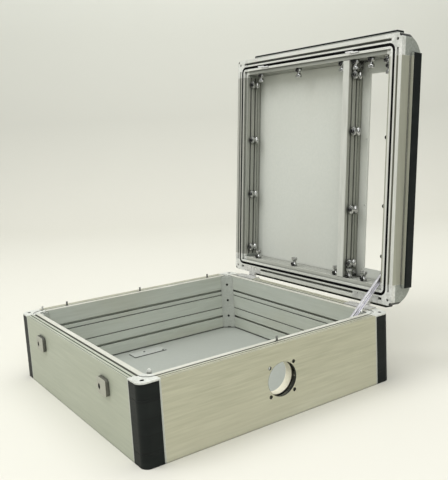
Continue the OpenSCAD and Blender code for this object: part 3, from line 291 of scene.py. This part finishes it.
# wall colours: low ones are painted bounce light at the foot of the outer face; inner ones are painted
# paler as painted light inside the box; rim ones are painted light on the tops; groove ones are painted
# shade in the rim groove
wallLook = dict(
    dark=(0.420, 0.414, 0.305), light=(0.522, 0.516, 0.390), innerDark=(0.50, 0.53, 0.47),
    innerLight=(0.56, 0.59, 0.53), grooveDark=(0.20, 0.20, 0.165), grooveLight=(0.26, 0.26, 0.215),
    rimDark=(0.57, 0.57, 0.505), rimLight=(0.65, 0.65, 0.585), lowDark=(0.515, 0.510, 0.390),
    lowLight=(0.595, 0.590, 0.465), stain=(0.40, 0.38, 0.26), stainAmount=0.30, edge=(0.84, 0.84, 0.77),
    edgeAmount=0.8, edgeRadius=0.0008, shadeAndSeam=(0.015, 0.016, 0.014), recessShadeAmount=0.85, recessShadeReach=0.004,
    broadScale=(4, 4, 10), fineScale=(13, 13, 260), rough=(0.42, 0.56), metal=0.2, specular=0.4,
    bump=0.05, bumpHeight=0.0002)
lockWallLook = dict(
    wallLook, dark=(0.385, 0.412, 0.328), light=(0.462, 0.488, 0.398), lowDark=(0.385, 0.412, 0.328),
    lowLight=(0.462, 0.488, 0.398), stain=(0.36, 0.375, 0.285))
# rail looks: the rim colours are painted light on the faces near the rim plane, and the divider's pale rim
# colours paint its front face lit
railLook = dict(
    dark=(0.43, 0.44, 0.395), light=(0.51, 0.52, 0.47), rimDark=(0.66, 0.67, 0.62),
    rimLight=(0.76, 0.77, 0.72), stain=(0.36, 0.355, 0.29), stainAmount=0.25, edge=(0.90, 0.90, 0.86),
    edgeAmount=0.9, edgeRadius=0.0007, shadeAndSeam=(0.015, 0.016, 0.014), recessShadeAmount=0.85, recessShadeReach=0.005,
    broadScale=(4, 8, 8), fineScale=(5, 200, 200), rough=(0.32, 0.44), metal=0.25, specular=0.4,
    bump=0.05, bumpHeight=0.0002)
# the top rail, whose faces turn down, painted darker than the hinge rail: a painted-shade copy of the rail
# look
shadedTopRailLook = dict(railLook, dark=(0.31, 0.32, 0.285), light=(0.38, 0.39, 0.355))
uprightLook = dict(railLook, dark=(0.36, 0.365, 0.295), light=(0.43, 0.435, 0.36), broadScale=(8, 8, 4),
                   fineScale=(200, 200, 5), turn=(lidLean, 0, 0))
leftLook = dict(
    uprightLook, dark=(0.29, 0.30, 0.265), light=(0.36, 0.37, 0.33), rimDark=(0.42, 0.425, 0.385),
    rimLight=(0.50, 0.505, 0.46))
dividerLook = dict(
    uprightLook, dark=(0.27, 0.28, 0.24), light=(0.34, 0.35, 0.305), rimDark=(0.60, 0.61, 0.56),
    rimLight=(0.68, 0.69, 0.64))
panelLook = dict(
    dark=(0.585, 0.605, 0.555), light=(0.62, 0.635, 0.585), stain=(0.55, 0.55, 0.49), stainAmount=0.3,
    edge=(0.75, 0.75, 0.7), edgeAmount=0.5, edgeRadius=0.0005, shadeAndSeam=(0.1, 0.1, 0.09), recessShadeAmount=0.35,
    recessShadeReach=0.008, broadScale=(5, 5, 5), fineScale=(160, 160, 160), rough=(0.42, 0.52), metal=0.0,
    specular=0.35, bump=0.03, bumpHeight=0.0001)
# the box floor sheet painted darker than the lid panel, as painted shade from the walls around it
shadedFloorLook = dict(
    panelLook, dark=(0.35, 0.372, 0.338), light=(0.385, 0.405, 0.37), stain=(0.33, 0.34, 0.31),
    shadeAndSeam=(0.012, 0.013, 0.012), recessShadeAmount=0.95, recessShadeReach=0.005)
# side colours: the plate's edges painted near black, as painted shade
plateLook = dict(
    shadedFloorLook, dark=(0.40, 0.42, 0.39), light=(0.46, 0.48, 0.45), sideDark=(0.02, 0.022, 0.02),
    sideLight=(0.04, 0.042, 0.04))
castLook = dict(
    dark=(0.50, 0.52, 0.475), light=(0.72, 0.73, 0.685), rimDark=(0.60, 0.61, 0.57),
    rimLight=(0.78, 0.79, 0.75), stain=(0.38, 0.39, 0.35), stainAmount=0.4, edge=(0.92, 0.92, 0.89),
    edgeAmount=0.8, edgeRadius=0.0009, shadeAndSeam=(0.012, 0.012, 0.011), recessShadeAmount=0.9, recessShadeReach=0.005,
    broadScale=(40, 40, 40), fineScale=(260, 260, 260), rough=(0.36, 0.52), metal=0.1, specular=0.45,
    bump=0.15, bumpHeight=0.0003)
# the lid castings: the casting look painted darker as painted shade, with the rim colours painted light on
# their front faces
shadedLidCastLook = dict(
    castLook, dark=(0.24, 0.26, 0.23), light=(0.35, 0.37, 0.335), stain=(0.20, 0.21, 0.18))
# the tab colours paint the posts paler above the rim, as painted light where they rise into the light
postLook = dict(castLook, dark=(0.40, 0.42, 0.38), light=(0.48, 0.50, 0.455), stain=(0.34, 0.35, 0.32),
                tabDark=(0.74, 0.75, 0.70), tabLight=(0.84, 0.85, 0.80), recessShadeReach=0.006)
coverLook = dict(
    dark=(0.0018, 0.0036, 0.0032), light=(0.0046, 0.0076, 0.0070), stain=(0.017, 0.022, 0.020),
    stainAmount=0.3, edge=(0.09, 0.09, 0.085), edgeAmount=0.45, edgeRadius=0.0007,
    shadeAndSeam=(0.001, 0.001, 0.001), recessShadeAmount=0.6, recessShadeReach=0.004, broadScale=(14, 14, 40),
    fineScale=(800, 800, 800), rough=(0.42, 0.6), metal=0.0, specular=0.2, bump=0.12, bumpHeight=0.0002,
    seams=(2, 0.027, 0.0009))
stripLook = {key: value for key, value in coverLook.items() if key != "seams"}
sealLook = dict(
    dark=(0.002, 0.002, 0.002), light=(0.004, 0.004, 0.004), stain=(0.01, 0.01, 0.0095),
    stainAmount=0.25, edge=(0.01, 0.01, 0.01), edgeAmount=0.3, edgeRadius=0.0004,
    shadeAndSeam=(0.001, 0.001, 0.001), recessShadeAmount=0.5, recessShadeReach=0.004, broadScale=(30, 30, 30),
    fineScale=(700, 700, 700), rough=(0.65, 0.8), metal=0.0, specular=0.06, bump=0.1, bumpHeight=0.0001)
zincLook = dict(
    dark=(0.27, 0.275, 0.265), light=(0.66, 0.665, 0.65), stain=(0.16, 0.16, 0.15), stainAmount=0.45,
    edge=(0.97, 0.97, 0.97), edgeAmount=0.9, edgeRadius=0.0006, shadeAndSeam=(0.008, 0.008, 0.008),
    recessShadeAmount=0.95, recessShadeReach=0.007, broadScale=(60, 60, 60), fineScale=(160, 160, 160),
    rough=(0.12, 0.22), metal=0.95, specular=0.5, bump=0.03, bumpHeight=0.0001)
hingeLook = dict(
    zincLook, dark=(0.58, 0.58, 0.56), light=(0.80, 0.80, 0.78), stain=(0.42, 0.42, 0.40), metal=0.6,
    rough=(0.25, 0.4), recessShadeReach=0.003)
socketLook = dict(
    zincLook, dark=(0.02, 0.02, 0.02), light=(0.09, 0.09, 0.09), edge=(0.4, 0.4, 0.4), metal=0.8)
catchLook = dict(
    hingeLook, dark=(0.86, 0.86, 0.86), light=(0.94, 0.94, 0.94), stain=(0.75, 0.75, 0.75), metal=0.2)
stayLook = dict(zincLook, dark=(0.74, 0.73, 0.78), light=(0.88, 0.87, 0.92), recessShadeAmount=0.6, metal=0.7,
                recessShadeReach=0.003)
pinLook = dict(zincLook, dark=(0.13, 0.135, 0.13), light=(0.22, 0.225, 0.215), edge=(0.5, 0.5, 0.48),
               endDark=(0.55, 0.56, 0.53), endLight=(0.7, 0.71, 0.68), metal=0.3)
# side colours: the housing's sides painted dark, as painted shade
lockLook = dict(
    wallLook, dark=(0.36, 0.365, 0.31), light=(0.43, 0.435, 0.375), sideDark=(0.07, 0.071, 0.062),
    sideLight=(0.12, 0.122, 0.108), fineScale=(300, 300, 300), edgeRadius=0.0008, edgeAmount=0.6,
    bump=0.06, stainAmount=0.2)
# end colours: the liner's outer end painted near black, as painted shade in the cavity behind the wall's
# skin
ringLook = dict(
    dark=(0.74, 0.71, 0.56), light=(0.84, 0.81, 0.68), endDark=(0.006, 0.0055, 0.004),
    endLight=(0.014, 0.012, 0.009), stain=(0.6, 0.55, 0.4), stainAmount=0.25, edge=(0.92, 0.9, 0.8),
    edgeAmount=0.4, edgeRadius=0.0006, shadeAndSeam=(0.03, 0.022, 0.012), recessShadeAmount=0.6, recessShadeReach=0.004,
    broadScale=(30, 30, 30), fineScale=(300, 300, 300), rough=(0.45, 0.6), metal=0.0, specular=0.4,
    bump=0.05, bumpHeight=0.0001)

# depths in metres at which a finish changes, how soft the change is, and its span within a wall
zoneSet = dict(
    wallRim=0.0010, wallLip=0.0165, grooveSpan=(0.0135, 0.0195), grooveDepths=(0.0005, 0.0045),
    railRim=0.0007, dividerRim=0.0060, castRim=0.0100, lockFace=0.0006, plateTop=0.0006, ringEnd=0.0010,
    pinEnd=0.018, bounceLitTop=0.08, soft=0.0004, innerSpan=(0.25, 0.75))
# painted shade about holes: radius of each, and how far the holes lie from middle or edge
holeShadeSet = dict(
    bolt=0.0033, boltReach=0.02625, bore=0.0311, rimHole=0.0034, rimIn=0.013, lidHole=0.0040,
    lidIn=0.011, key=0.0042, floorHole=0.0032, floorNear=(0.011, 0.033), floorFar=(0.005, 0.006),
    postHole=0.0028, postMiddle=0.076, postPitch=0.041)


def lidDepth(points):
    # depth behind and height along the open lid: the points leaned forward until the lid stands upright
    y, z = points[..., 1], points[..., 2]
    c, s = math.cos(lidLean), math.sin(lidLean)
    return y * c - z * s, y * s + z * c


def wallFinish(name, look, node, axis, outward, spots=()):
    # the outer face has the look's own colours, with the low ones at its foot as painted bounce light from
    # the floor, and the inner face the inner ones, painted paler as painted light inside the box; on the
    # rim, the lip has the rim ones as painted light and the wide groove the groove ones as painted shade
    low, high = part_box(node)
    face, inward = (high[axis], -1) if outward > 0 else (low[axis], 1)
    inner = [float(face + inward * abs(high[axis] - low[axis]) * share) for share in zoneSet["innerSpan"]]
    top, soft = float(high[2]) - zoneSet["wallRim"], zoneSet["soft"]
    lip = float(face + inward * zoneSet["wallLip"])
    near, far = (float(face + inward * depth) for depth in zoneSet["grooveSpan"])
    under, bottom = (float(high[2]) - depth for depth in zoneSet["grooveDepths"])
    zones = [("low", (2, zoneSet["bounceLitTop"], 0.0)),
             ("inner", (axis, *inner)),
             ("rim", (2, top - soft, top), (axis, lip, lip + inward * soft)),
             ("groove", (2, under, under - soft), (2, bottom - soft, bottom),
              (axis, near, near + inward * soft), (axis, far, far - inward * soft))]
    return surface(name, look, zones, spots)


def rimFinish(name, look, depth, spots=()):
    # what lies near the lid's rim plane has the paler rim colours, painted light on the lit faces, and what
    # lies deeper the look's own
    rim = float(lidDepth(cornersOf("lid_rail_left"))[0].min())
    return surface(name, look, [("rim", (1, rim + depth + zoneSet["soft"], rim + depth, lidLean))], spots)


def holeShadeAbout(axes, middle, reach, radius, turn=(0, 0, 0)):
    return dict(axes=axes, middle=tuple(map(float, middle)), reach=tuple(map(float, reach)), radius=radius,
                turn=turn)


def holeShadePlaces():
    # where the painted shade about holes lies, worked out from the pieces' own boxes
    wall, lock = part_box("wall_coupling_side"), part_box("wall_lock_side")
    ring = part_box("coupling_liner")
    axis = [(ring[0][k] + ring[1][k]) / 2 for k in (1, 2)]
    reach = holeShadeSet["boltReach"]
    rimReach = (wall[1][0] - holeShadeSet["rimIn"], -lock[0][1] - holeShadeSet["rimIn"])
    low = shutBox("lid_rail_lock")[0]
    lidEnds = [shutBox(name) for name in ("lid_rail_left", "lid_rail_right")]
    lidX = max(abs(end[k][0]) for end in lidEnds for k in (0, 1)) - holeShadeSet["lidIn"]
    lidY = abs(low[1]) - holeShadeSet["lidIn"]
    ends = lidDepth(turnLid(np.array([[lidX, -lidY, low[2]], [lidX, lidY, low[2]]]), lidOpen))[1]
    locks = np.array([joints[name]["pos_m"] for name in ("lock_turn_left", "lock_turn_right")])
    plateLow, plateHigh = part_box("floor_plate")
    nearHole = [plateLow[k] + holeShadeSet["floorNear"][k] for k in (0, 1)]
    farHole = [plateHigh[k] - holeShadeSet["floorFar"][k] for k in (0, 1)]
    across = (wall[1][0] + lock[0][1]) / math.sqrt(2)
    return dict(
        coupling=[holeShadeAbout((1, 2), axis, (reach, reach), holeShadeSet["bolt"]),
                  holeShadeAbout((1, 2), axis, (0, 0), holeShadeSet["bore"])],
        rim=[holeShadeAbout((0, 1), (0, 0), rimReach, holeShadeSet["rimHole"])],
        lid=[holeShadeAbout((0, 2), (0, ends.mean()), (lidX, abs(ends[1] - ends[0]) / 2), holeShadeSet["lidHole"],
                        (lidLean, 0, 0))],
        key=[holeShadeAbout((0, 2), locks.mean(0)[[0, 2]], (np.ptp(locks[:, 0]) / 2, 0), holeShadeSet["key"])],
        post=[holeShadeAbout(("diagonal", 2), (across, holeShadeSet["postMiddle"]), (0, up), holeShadeSet["postHole"])
              for up in (0, holeShadeSet["postPitch"])],
        floor=[holeShadeAbout((0, 1), hole, (0, 0), holeShadeSet["floorHole"]) for hole in (nearHole, farHole)])


def pastFinish(name, look, key, axis, level, spots=()):
    # the colours under the key on the far side of a level; a negative axis number counts downwards
    soft = zoneSet["soft"]
    limit = (axis, level, level + soft) if axis >= 0 else (-axis - 1, level, level - soft)
    return surface(name, look, [(key, limit)], spots)


spots = holeShadePlaces()
# past the lock housing's front face its sides take painted shade
lockFront = float(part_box("lock_housing_left")[0][1]) + zoneSet["lockFace"]
# below the plate's top face its edges take painted shade
plateTop = float(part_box("floor_plate")[1][2]) - zoneSet["plateTop"]
# past this level the liner's outer end takes painted shade
ringEnd = float(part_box("coupling_liner")[1][0]) - zoneSet["ringEnd"]
pinEnd = float(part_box("rim_pins")[0][1]) + zoneSet["pinEnd"]
# above this level the posts take painted light
rimTop = float(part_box("wall_plain_side")[1][2])

finishes = {
    "wallHinge": wallFinish("wallBehindHinges", wallLook, "wall_hinge_side", 1, 1),
    "wallLock": wallFinish("wallWithLocks", lockWallLook, "wall_lock_side", 1, -1),
    "wallCoupling": wallFinish("wallWithCoupling", wallLook, "wall_coupling_side", 0, 1, spots["coupling"]),
    "wallPlain": wallFinish("wallPlain", wallLook, "wall_plain_side", 0, -1),
    "railLevel": rimFinish("railLevel", railLook, zoneSet["railRim"]),
    "railTop": rimFinish("railTop", shadedTopRailLook, zoneSet["railRim"]),
    "railUpright": rimFinish("railUpright", uprightLook, zoneSet["railRim"]),
    "railLeft": rimFinish("railLeft", leftLook, zoneSet["railRim"]),
    "divider": rimFinish("divider", dividerLook, zoneSet["dividerRim"]),
    "panel": surface("greySheet", panelLook),
    "floor": surface("greyFloorSheet", shadedFloorLook, spots=spots["floor"]),
    # floor plate: edges painted near black as painted shade
    "plate": pastFinish("greyPlate", plateLook, "side", -3, plateTop),
    "cast": surface("paleCasting", castLook, spots=spots["rim"]),
    "lidCast": rimFinish("lidCasting", shadedLidCastLook, zoneSet["castRim"], spots["lid"]),
    # posts: painted light above the rim, painted shade in the screw holes
    "post": pastFinish("greyPost", postLook, "tab", 2, rimTop, spots["post"]),
    "cover": surface("charcoalPlastic", coverLook),
    "strip": surface("charcoalStrip", stripLook),
    "seal": surface("blackSeal", sealLook),
    "zinc": surface("zincPlate", zincLook),
    "hinge": surface("zincHinge", hingeLook),
    "socket": surface("darkSteel", socketLook),
    "catch": surface("brightCatch", catchLook),
    "stay": surface("brightStay", stayLook),
    "pin": pastFinish("greyPin", pinLook, "end", -2, pinEnd),
    # lock housings: sides painted dark as painted shade
    "lock": pastFinish("lockGrey", lockLook, "side", 1, lockFront),
    "barrel": surface("lockBarrel", lockLook, spots=spots["key"]),
    # coupling liner: outer end painted near black as painted shade
    "ring": pastFinish("creamRing", ringLook, "end", 0, ringEnd),
}

# a piece takes the first finish whose prefix its name has
finishOf = {
    "wall_hinge": "wallHinge", "wall_lock": "wallLock", "wall_coupling": "wallCoupling",
    "wall_plain": "wallPlain", "corner_post": "post", "corner_cover": "cover", "rim_corner": "cast",
    "back_panel": "floor", "floor_plate": "plate", "coupling_liner": "ring", "rim_pins": "pin",
    "lock_housing": "lock", "lock_barrel": "barrel", "hinge_": "hinge", "stay_arm": "stay",
    "stay_": "socket", "lid_rail_hinge": "railLevel", "lid_rail_lock": "railTop",
    "lid_rail_left": "railLeft", "lid_rail_right": "railUpright", "lid_corner": "lidCast",
    "grip_strip": "strip", "lid_gasket": "seal", "divider_bar": "divider", "divider_brackets": "zinc",
    "main_panel": "panel", "window_plate": "panel", "panel_clamps": "zinc", "clamp_screws": "socket",
    "lid_catch": "catch",
}

for name, piece in nodes.items():
    for prefix, finish in finishOf.items():
        if name.startswith(prefix):
            piece.data.materials.clear()
            piece.data.materials.append(finishes[finish])
            break
print("finishes set:", len(finishes))

# gasket: a soft cord in the lid's groove

gasketSet = dict(width=0.0052, cornerRadius=0.012, inset=0.0025, cornerPoints=12, roundPoints=14)


def makeGasket():
    # profile: half circle over a straight foot; path: the rounded frame that the CAD gasket follows
    low, high = shutBox("lid_gasket")
    half = gasketSet["width"] / 2
    radius = gasketSet["cornerRadius"]
    quarter = np.arange(4)[:, None] * math.pi / 2
    turn = np.linspace(0, math.pi / 2, gasketSet["cornerPoints"])[None, :] + quarter
    away = np.stack([np.cos(turn), np.sin(turn)], -1)
    sign = np.array([[1, 1], [-1, 1], [-1, -1], [1, -1]])[:, None, :]
    reach = np.array([high[0], high[1]]) - gasketSet["inset"] - radius
    centre = sign * reach
    arc = np.linspace(0, math.pi, gasketSet["roundPoints"])
    across = np.concatenate([[half], half * np.cos(arc), [-half]])
    deep = np.concatenate([[high[2]], low[2] + half - half * np.sin(arc), [high[2]]])
    flat = centre[:, :, None, :] + away[:, :, None, :] * (radius + across[::-1])[None, None, :, None]
    depth = np.broadcast_to(deep[::-1], flat.shape[:-1])
    grid = np.concatenate([flat, depth[..., None]], -1).reshape(-1, len(deep), 3)
    gasket = gridObject("gasketCord", turnLid(grid, lidOpen), closeU=True, closeV=True)
    gasket.data.materials.append(finishes["seal"])
    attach(gasket, "lid")
    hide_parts("lid_gasket")


makeGasket()
print("gasket laid")

# clamps: two lobes with a waist, lying along the depth on upright rails and standing up on level ones

clampSet = dict(
    uprightWidth=0.0094, levelWidth=0.0076, waistShare=0.5, rings=25, around=20, squareness=0.7,
    endRound=0.07, endLeast=0.35, waistLength=0.16, waistPower=4, waistThin=0.3, sharpAngle=40.0,
    uprightFrom=0.0125, uprightLength=0.0205, uprightOff=0.0068, uprightHalf=0.0068, windowShare=0.62,
    levelFrom=-0.0004, levelLength=0.0215, levelDepth=0.0150, levelHalf=0.0050, screwOff=0.0075,
    levelScrewOff=0.0052, headRadius=0.0040, socketRadius=0.0026, headUp=0.0026, headIn=0.0008,
    socketIn=0.0010, search=0.0125, apart=0.0120)


def clampPlaces():
    # foot of each clamp on the shut lid and the way it stands off, read from the CAD clamps and screws
    screws = turnLid(cornersOf("clamp_screws"), -lidOpen)[:, :2]
    bodies = turnLid(cornersOf("panel_clamps"), -lidOpen)[:, :2]
    feet, ways = [], []
    while len(screws):
        near = np.linalg.norm(screws - screws[0], axis=1) < clampSet["apart"]
        axis = (screws[near].min(0) + screws[near].max(0)) / 2
        screws = screws[~near]
        own = bodies[np.abs(bodies - axis).max(1) < clampSet["search"]]
        lean = axis - (own.min(0) + own.max(0)) / 2
        way = np.where(np.abs(lean) == np.abs(lean).max(), np.sign(lean), 0)
        feet.append(axis - way * clampSet["screwOff"])
        ways.append(way)
    return np.array(feet), np.array(ways)


def tubeSet(name, tubes, finish, node):
    # closed tubes with flat ends in one piece, from (count, rings, around, 3) points on the shut lid
    count, m, n = tubes.shape[:3]
    base = (np.arange(count) * m * n)[:, None, None]
    a, b = np.meshgrid(np.arange(m - 1), np.arange(n), indexing="ij")
    c = (b + 1) % n
    sides = np.stack([a * n + b, (a + 1) * n + b, (a + 1) * n + c, a * n + c], -1).reshape(1, -1, 4) + base
    start = np.arange(n).reshape(1, 1, -1) + base
    end = (np.arange(n)[::-1] + (m - 1) * n).reshape(1, 1, -1) + base
    mesh = bpy.data.meshes.new(name)
    faces = sides.reshape(-1, 4).tolist() + start.reshape(-1, n).tolist() + end.reshape(-1, n).tolist()
    mesh.from_pydata(turnLid(tubes, lidOpen).reshape(-1, 3).tolist(), [], faces)
    mesh.polygons.foreach_set("use_smooth", np.full(len(faces), True))
    mesh.set_sharp_from_angle(angle=math.radians(clampSet["sharpAngle"]))
    mesh.update()
    piece = bpy.data.objects.new(name, mesh)
    scene.collection.objects.link(piece)
    piece.data.materials.append(finishes[finish])
    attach(piece, "lid")
    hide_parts(node)


def makeClamps():
    k = clampSet
    feet, ways = clampPlaces()
    rim = turnLid(cornersOf("lid_rail_left"), -lidOpen)[:, 2].min()
    level = (ways[:, 1] != 0)[:, None]
    foot = np.column_stack([feet, np.full(len(feet), rim)])
    off = np.column_stack([ways, np.zeros(len(ways))])
    deep = np.broadcast_to([0.0, 0.0, 1.0], off.shape)
    side = np.cross(deep, off)
    # body: along its axis the half width goes lobe, waist, lobe; across it the section is a rounded box
    along = np.linspace(0, 1, k["rings"])
    waist = np.exp(-((along - 0.5) / k["waistLength"]) ** k["waistPower"])
    ends = np.clip(np.minimum(along, 1 - along) / k["endRound"], 0, 1)
    ends = k["endLeast"] + (1 - k["endLeast"]) * np.sqrt(1 - (1 - ends) ** 2)
    wide = (1 - waist * k["waistShare"]) * ends
    thick = (1 - waist * k["waistThin"]) * ends
    angle = np.arange(k["around"]) * 2 * math.pi / k["around"]
    cosine, sine = (np.sign(f) * np.abs(f) ** k["squareness"] for f in (np.cos(angle), np.sin(angle)))
    axis = np.where(level, off * k["levelLength"], deep * k["uprightLength"])
    # beside the window the clamps stand less far off, as little of them shows past the rail
    low = np.where(ways[:, :1] < 0, k["windowShare"], 1.0)
    start = foot + np.where(level, off * k["levelFrom"] + deep * k["levelDepth"],
                            off * k["uprightOff"] * low + deep * k["uprightFrom"])
    third = np.where(level, -deep * k["levelHalf"], off * k["uprightHalf"] * low)
    across = side * np.where(level, k["levelWidth"], k["uprightWidth"])
    body = (start[:, None, None] + axis[:, None, None] * along[None, :, None, None]
            + across[:, None, None] * (wide[:, None] * cosine)[None, ..., None]
            + third[:, None, None] * (thick[:, None] * sine)[None, ..., None])
    tubeSet("panelClamps", body, "zinc", "panel_clamps")
    # screw: head profile with its socket, turned about an axis along the depth
    radius = np.array([k["headRadius"], k["headRadius"], k["socketRadius"], k["socketRadius"]])
    height = np.array([k["headIn"], -k["headUp"], -k["headUp"], -k["socketIn"]])
    front = np.where(level, k["levelDepth"] - k["levelHalf"], k["uprightFrom"])
    middle = foot + off * np.where(level, k["levelScrewOff"], k["screwOff"] * low) + deep * front
    head = (middle[:, None, None] + deep[:, None, None] * height[None, :, None, None]
            + side[:, None, None] * (radius[:, None] * np.cos(angle))[None, ..., None]
            - off[:, None, None] * (radius[:, None] * np.sin(angle))[None, ..., None])
    tubeSet("clampScrews", head, "socket", "clamp_screws")
    return len(feet)


print("clamps set:", makeClamps())

# camera: fitted to the photograph

cameraSet = dict(
    azimuth=53.11, elevation=9.63, distance=1.138, target=(0.2616, 0.0, 0.3202), roll=-2.53,
    focalPixels=665.0, principalX=270.0, frameWidth=448.0, frameHeight=480.0, sensor=36.0)


def makeCamera():
    az, el, roll = (math.radians(cameraSet[k]) for k in ("azimuth", "elevation", "roll"))
    back = np.array([math.sin(az) * math.cos(el), -math.cos(az) * math.cos(el), math.sin(el)])
    place = np.array(cameraSet["target"]) + cameraSet["distance"] * back
    right = np.cross(-back, (0, 0, 1))
    right /= np.linalg.norm(right)
    up = np.cross(right, -back)
    rolledRight = math.cos(roll) * right + math.sin(roll) * up
    rolledUp = -math.sin(roll) * right + math.cos(roll) * up
    lens = bpy.data.cameras.new("photoCamera")
    lens.sensor_fit = "VERTICAL"
    lens.sensor_height = cameraSet["sensor"]
    lens.lens = cameraSet["focalPixels"] / cameraSet["frameHeight"] * cameraSet["sensor"]
    lens.shift_x = (cameraSet["frameWidth"] / 2 - cameraSet["principalX"]) / cameraSet["frameHeight"]
    camera = bpy.data.objects.new("photoCamera", lens)
    matrix = np.eye(4)
    matrix[:3, 0], matrix[:3, 1], matrix[:3, 2], matrix[:3, 3] = rolledRight, rolledUp, back, place
    camera.matrix_world = mathutils.Matrix(matrix.tolist())
    scene.collection.objects.link(camera)
    scene.camera = camera


# stage: floor that sweeps up into a backdrop, turned to the camera

stageSet = dict(
    front=-3.0, bend=2.2, bendRadius=1.2, bendPoints=24, top=4.0, side=5.0, wallFrom=0.6, topFrom=2.4,
    floorColour=(0.69, 0.68, 0.615), wallColour=(0.62, 0.62, 0.565), topColour=(0.90, 0.92, 0.87),
    rough=0.75, specular=0.1)


def makeStage():
    # profile carried along x: level floor, quarter circle, upright wall
    angle = np.linspace(0, math.pi / 2, stageSet["bendPoints"])
    r = stageSet["bendRadius"]
    y = np.concatenate([[stageSet["front"]], stageSet["bend"] + r * np.sin(angle), [stageSet["bend"] + r]])
    z = np.concatenate([[0], r - r * np.cos(angle), [stageSet["top"]]])
    x = np.array([-stageSet["side"], stageSet["side"]])
    grid = np.stack(np.broadcast_arrays(x[:, None], y[None, :], z[None, :]), -1)
    turn = math.radians(cameraSet["azimuth"])
    c, s = math.cos(turn), math.sin(turn)
    x, y, z = np.moveaxis(grid, -1, 0)
    turned = np.stack([x * c - y * s, x * s + y * c, z], -1)
    backdrop = gridObject("studioSweep", turned)
    material, tree, shader = newMaterial("paleSweep")
    low = alongAxis(tree, 2, 0.0, stageSet["wallFrom"])
    high = alongAxis(tree, 2, stageSet["wallFrom"], stageSet["topFrom"])
    tint = mixColour(tree, low, stageSet["floorColour"], stageSet["wallColour"])
    tree.links.new(mixColour(tree, high, tint, stageSet["topColour"]), shader.inputs["Base Color"])
    shader.inputs["Roughness"].default_value = stageSet["rough"]
    shader.inputs["Specular IOR Level"].default_value = stageSet["specular"]
    backdrop.data.materials.append(material)


# lamps: soft square areas, each aimed at a point; the room's own light is paler overhead
lampSet = {
    "keySoft": dict(place=(-1.0, -2.6, 3.7), aim=(0.0, 0.0, 0.2), size=2.6, watts=84),
    "fillRight": dict(place=(2.2, -0.9, 1.5), aim=(0.1, 0.1, 0.2), size=1.8, watts=18),
    "topWide": dict(place=(0.2, 0.2, 2.9), aim=(0.1, 0.1, 0.0), size=2.6, watts=32),
    "backGlow": dict(place=(-0.5, 1.0, 3.2), aim=(-2.3, 2.35, 1.9), size=1.8, watts=20),
}
# a way that no lamp points along, to turn their squares by
lampAcross = (0, 1, 0.01)
worldSet = dict(low=(0.30, 0.31, 0.29), high=(0.80, 0.80, 0.78), highFrom=0.7, strength=0.92)


def makeLights():
    for name, lamp in lampSet.items():
        light = bpy.data.lights.new(name, "AREA")
        light.energy = lamp["watts"]
        light.size = lamp["size"]
        piece = bpy.data.objects.new(name, light)
        back = np.array(lamp["place"]) - np.array(lamp["aim"])
        back /= np.linalg.norm(back)
        right = np.cross(lampAcross, back)
        right /= np.linalg.norm(right)
        matrix = np.eye(4)
        up = np.cross(back, right)
        matrix[:3, 0], matrix[:3, 1], matrix[:3, 2], matrix[:3, 3] = right, up, back, lamp["place"]
        piece.matrix_world = mathutils.Matrix(matrix.tolist())
        scene.collection.objects.link(piece)
    world = bpy.data.worlds.new("softRoom")
    world.use_nodes = True
    tree = world.node_tree
    sky = tree.nodes["Background"]
    view = addNode(tree, "ShaderNodeTexCoord")
    parts = addNode(tree, "ShaderNodeSeparateXYZ")
    tree.links.new(view.outputs["Generated"], parts.inputs["Vector"])
    lift = spread(tree, parts.outputs["Z"], 0.0, 1.0, 0.0, worldSet["highFrom"])
    tree.links.new(mixColour(tree, lift, worldSet["low"], worldSet["high"]), sky.inputs["Color"])
    sky.inputs["Strength"].default_value = worldSet["strength"]
    scene.world = world


makeStage()
makeCamera()
makeLights()
print("stage, camera and lamps set")
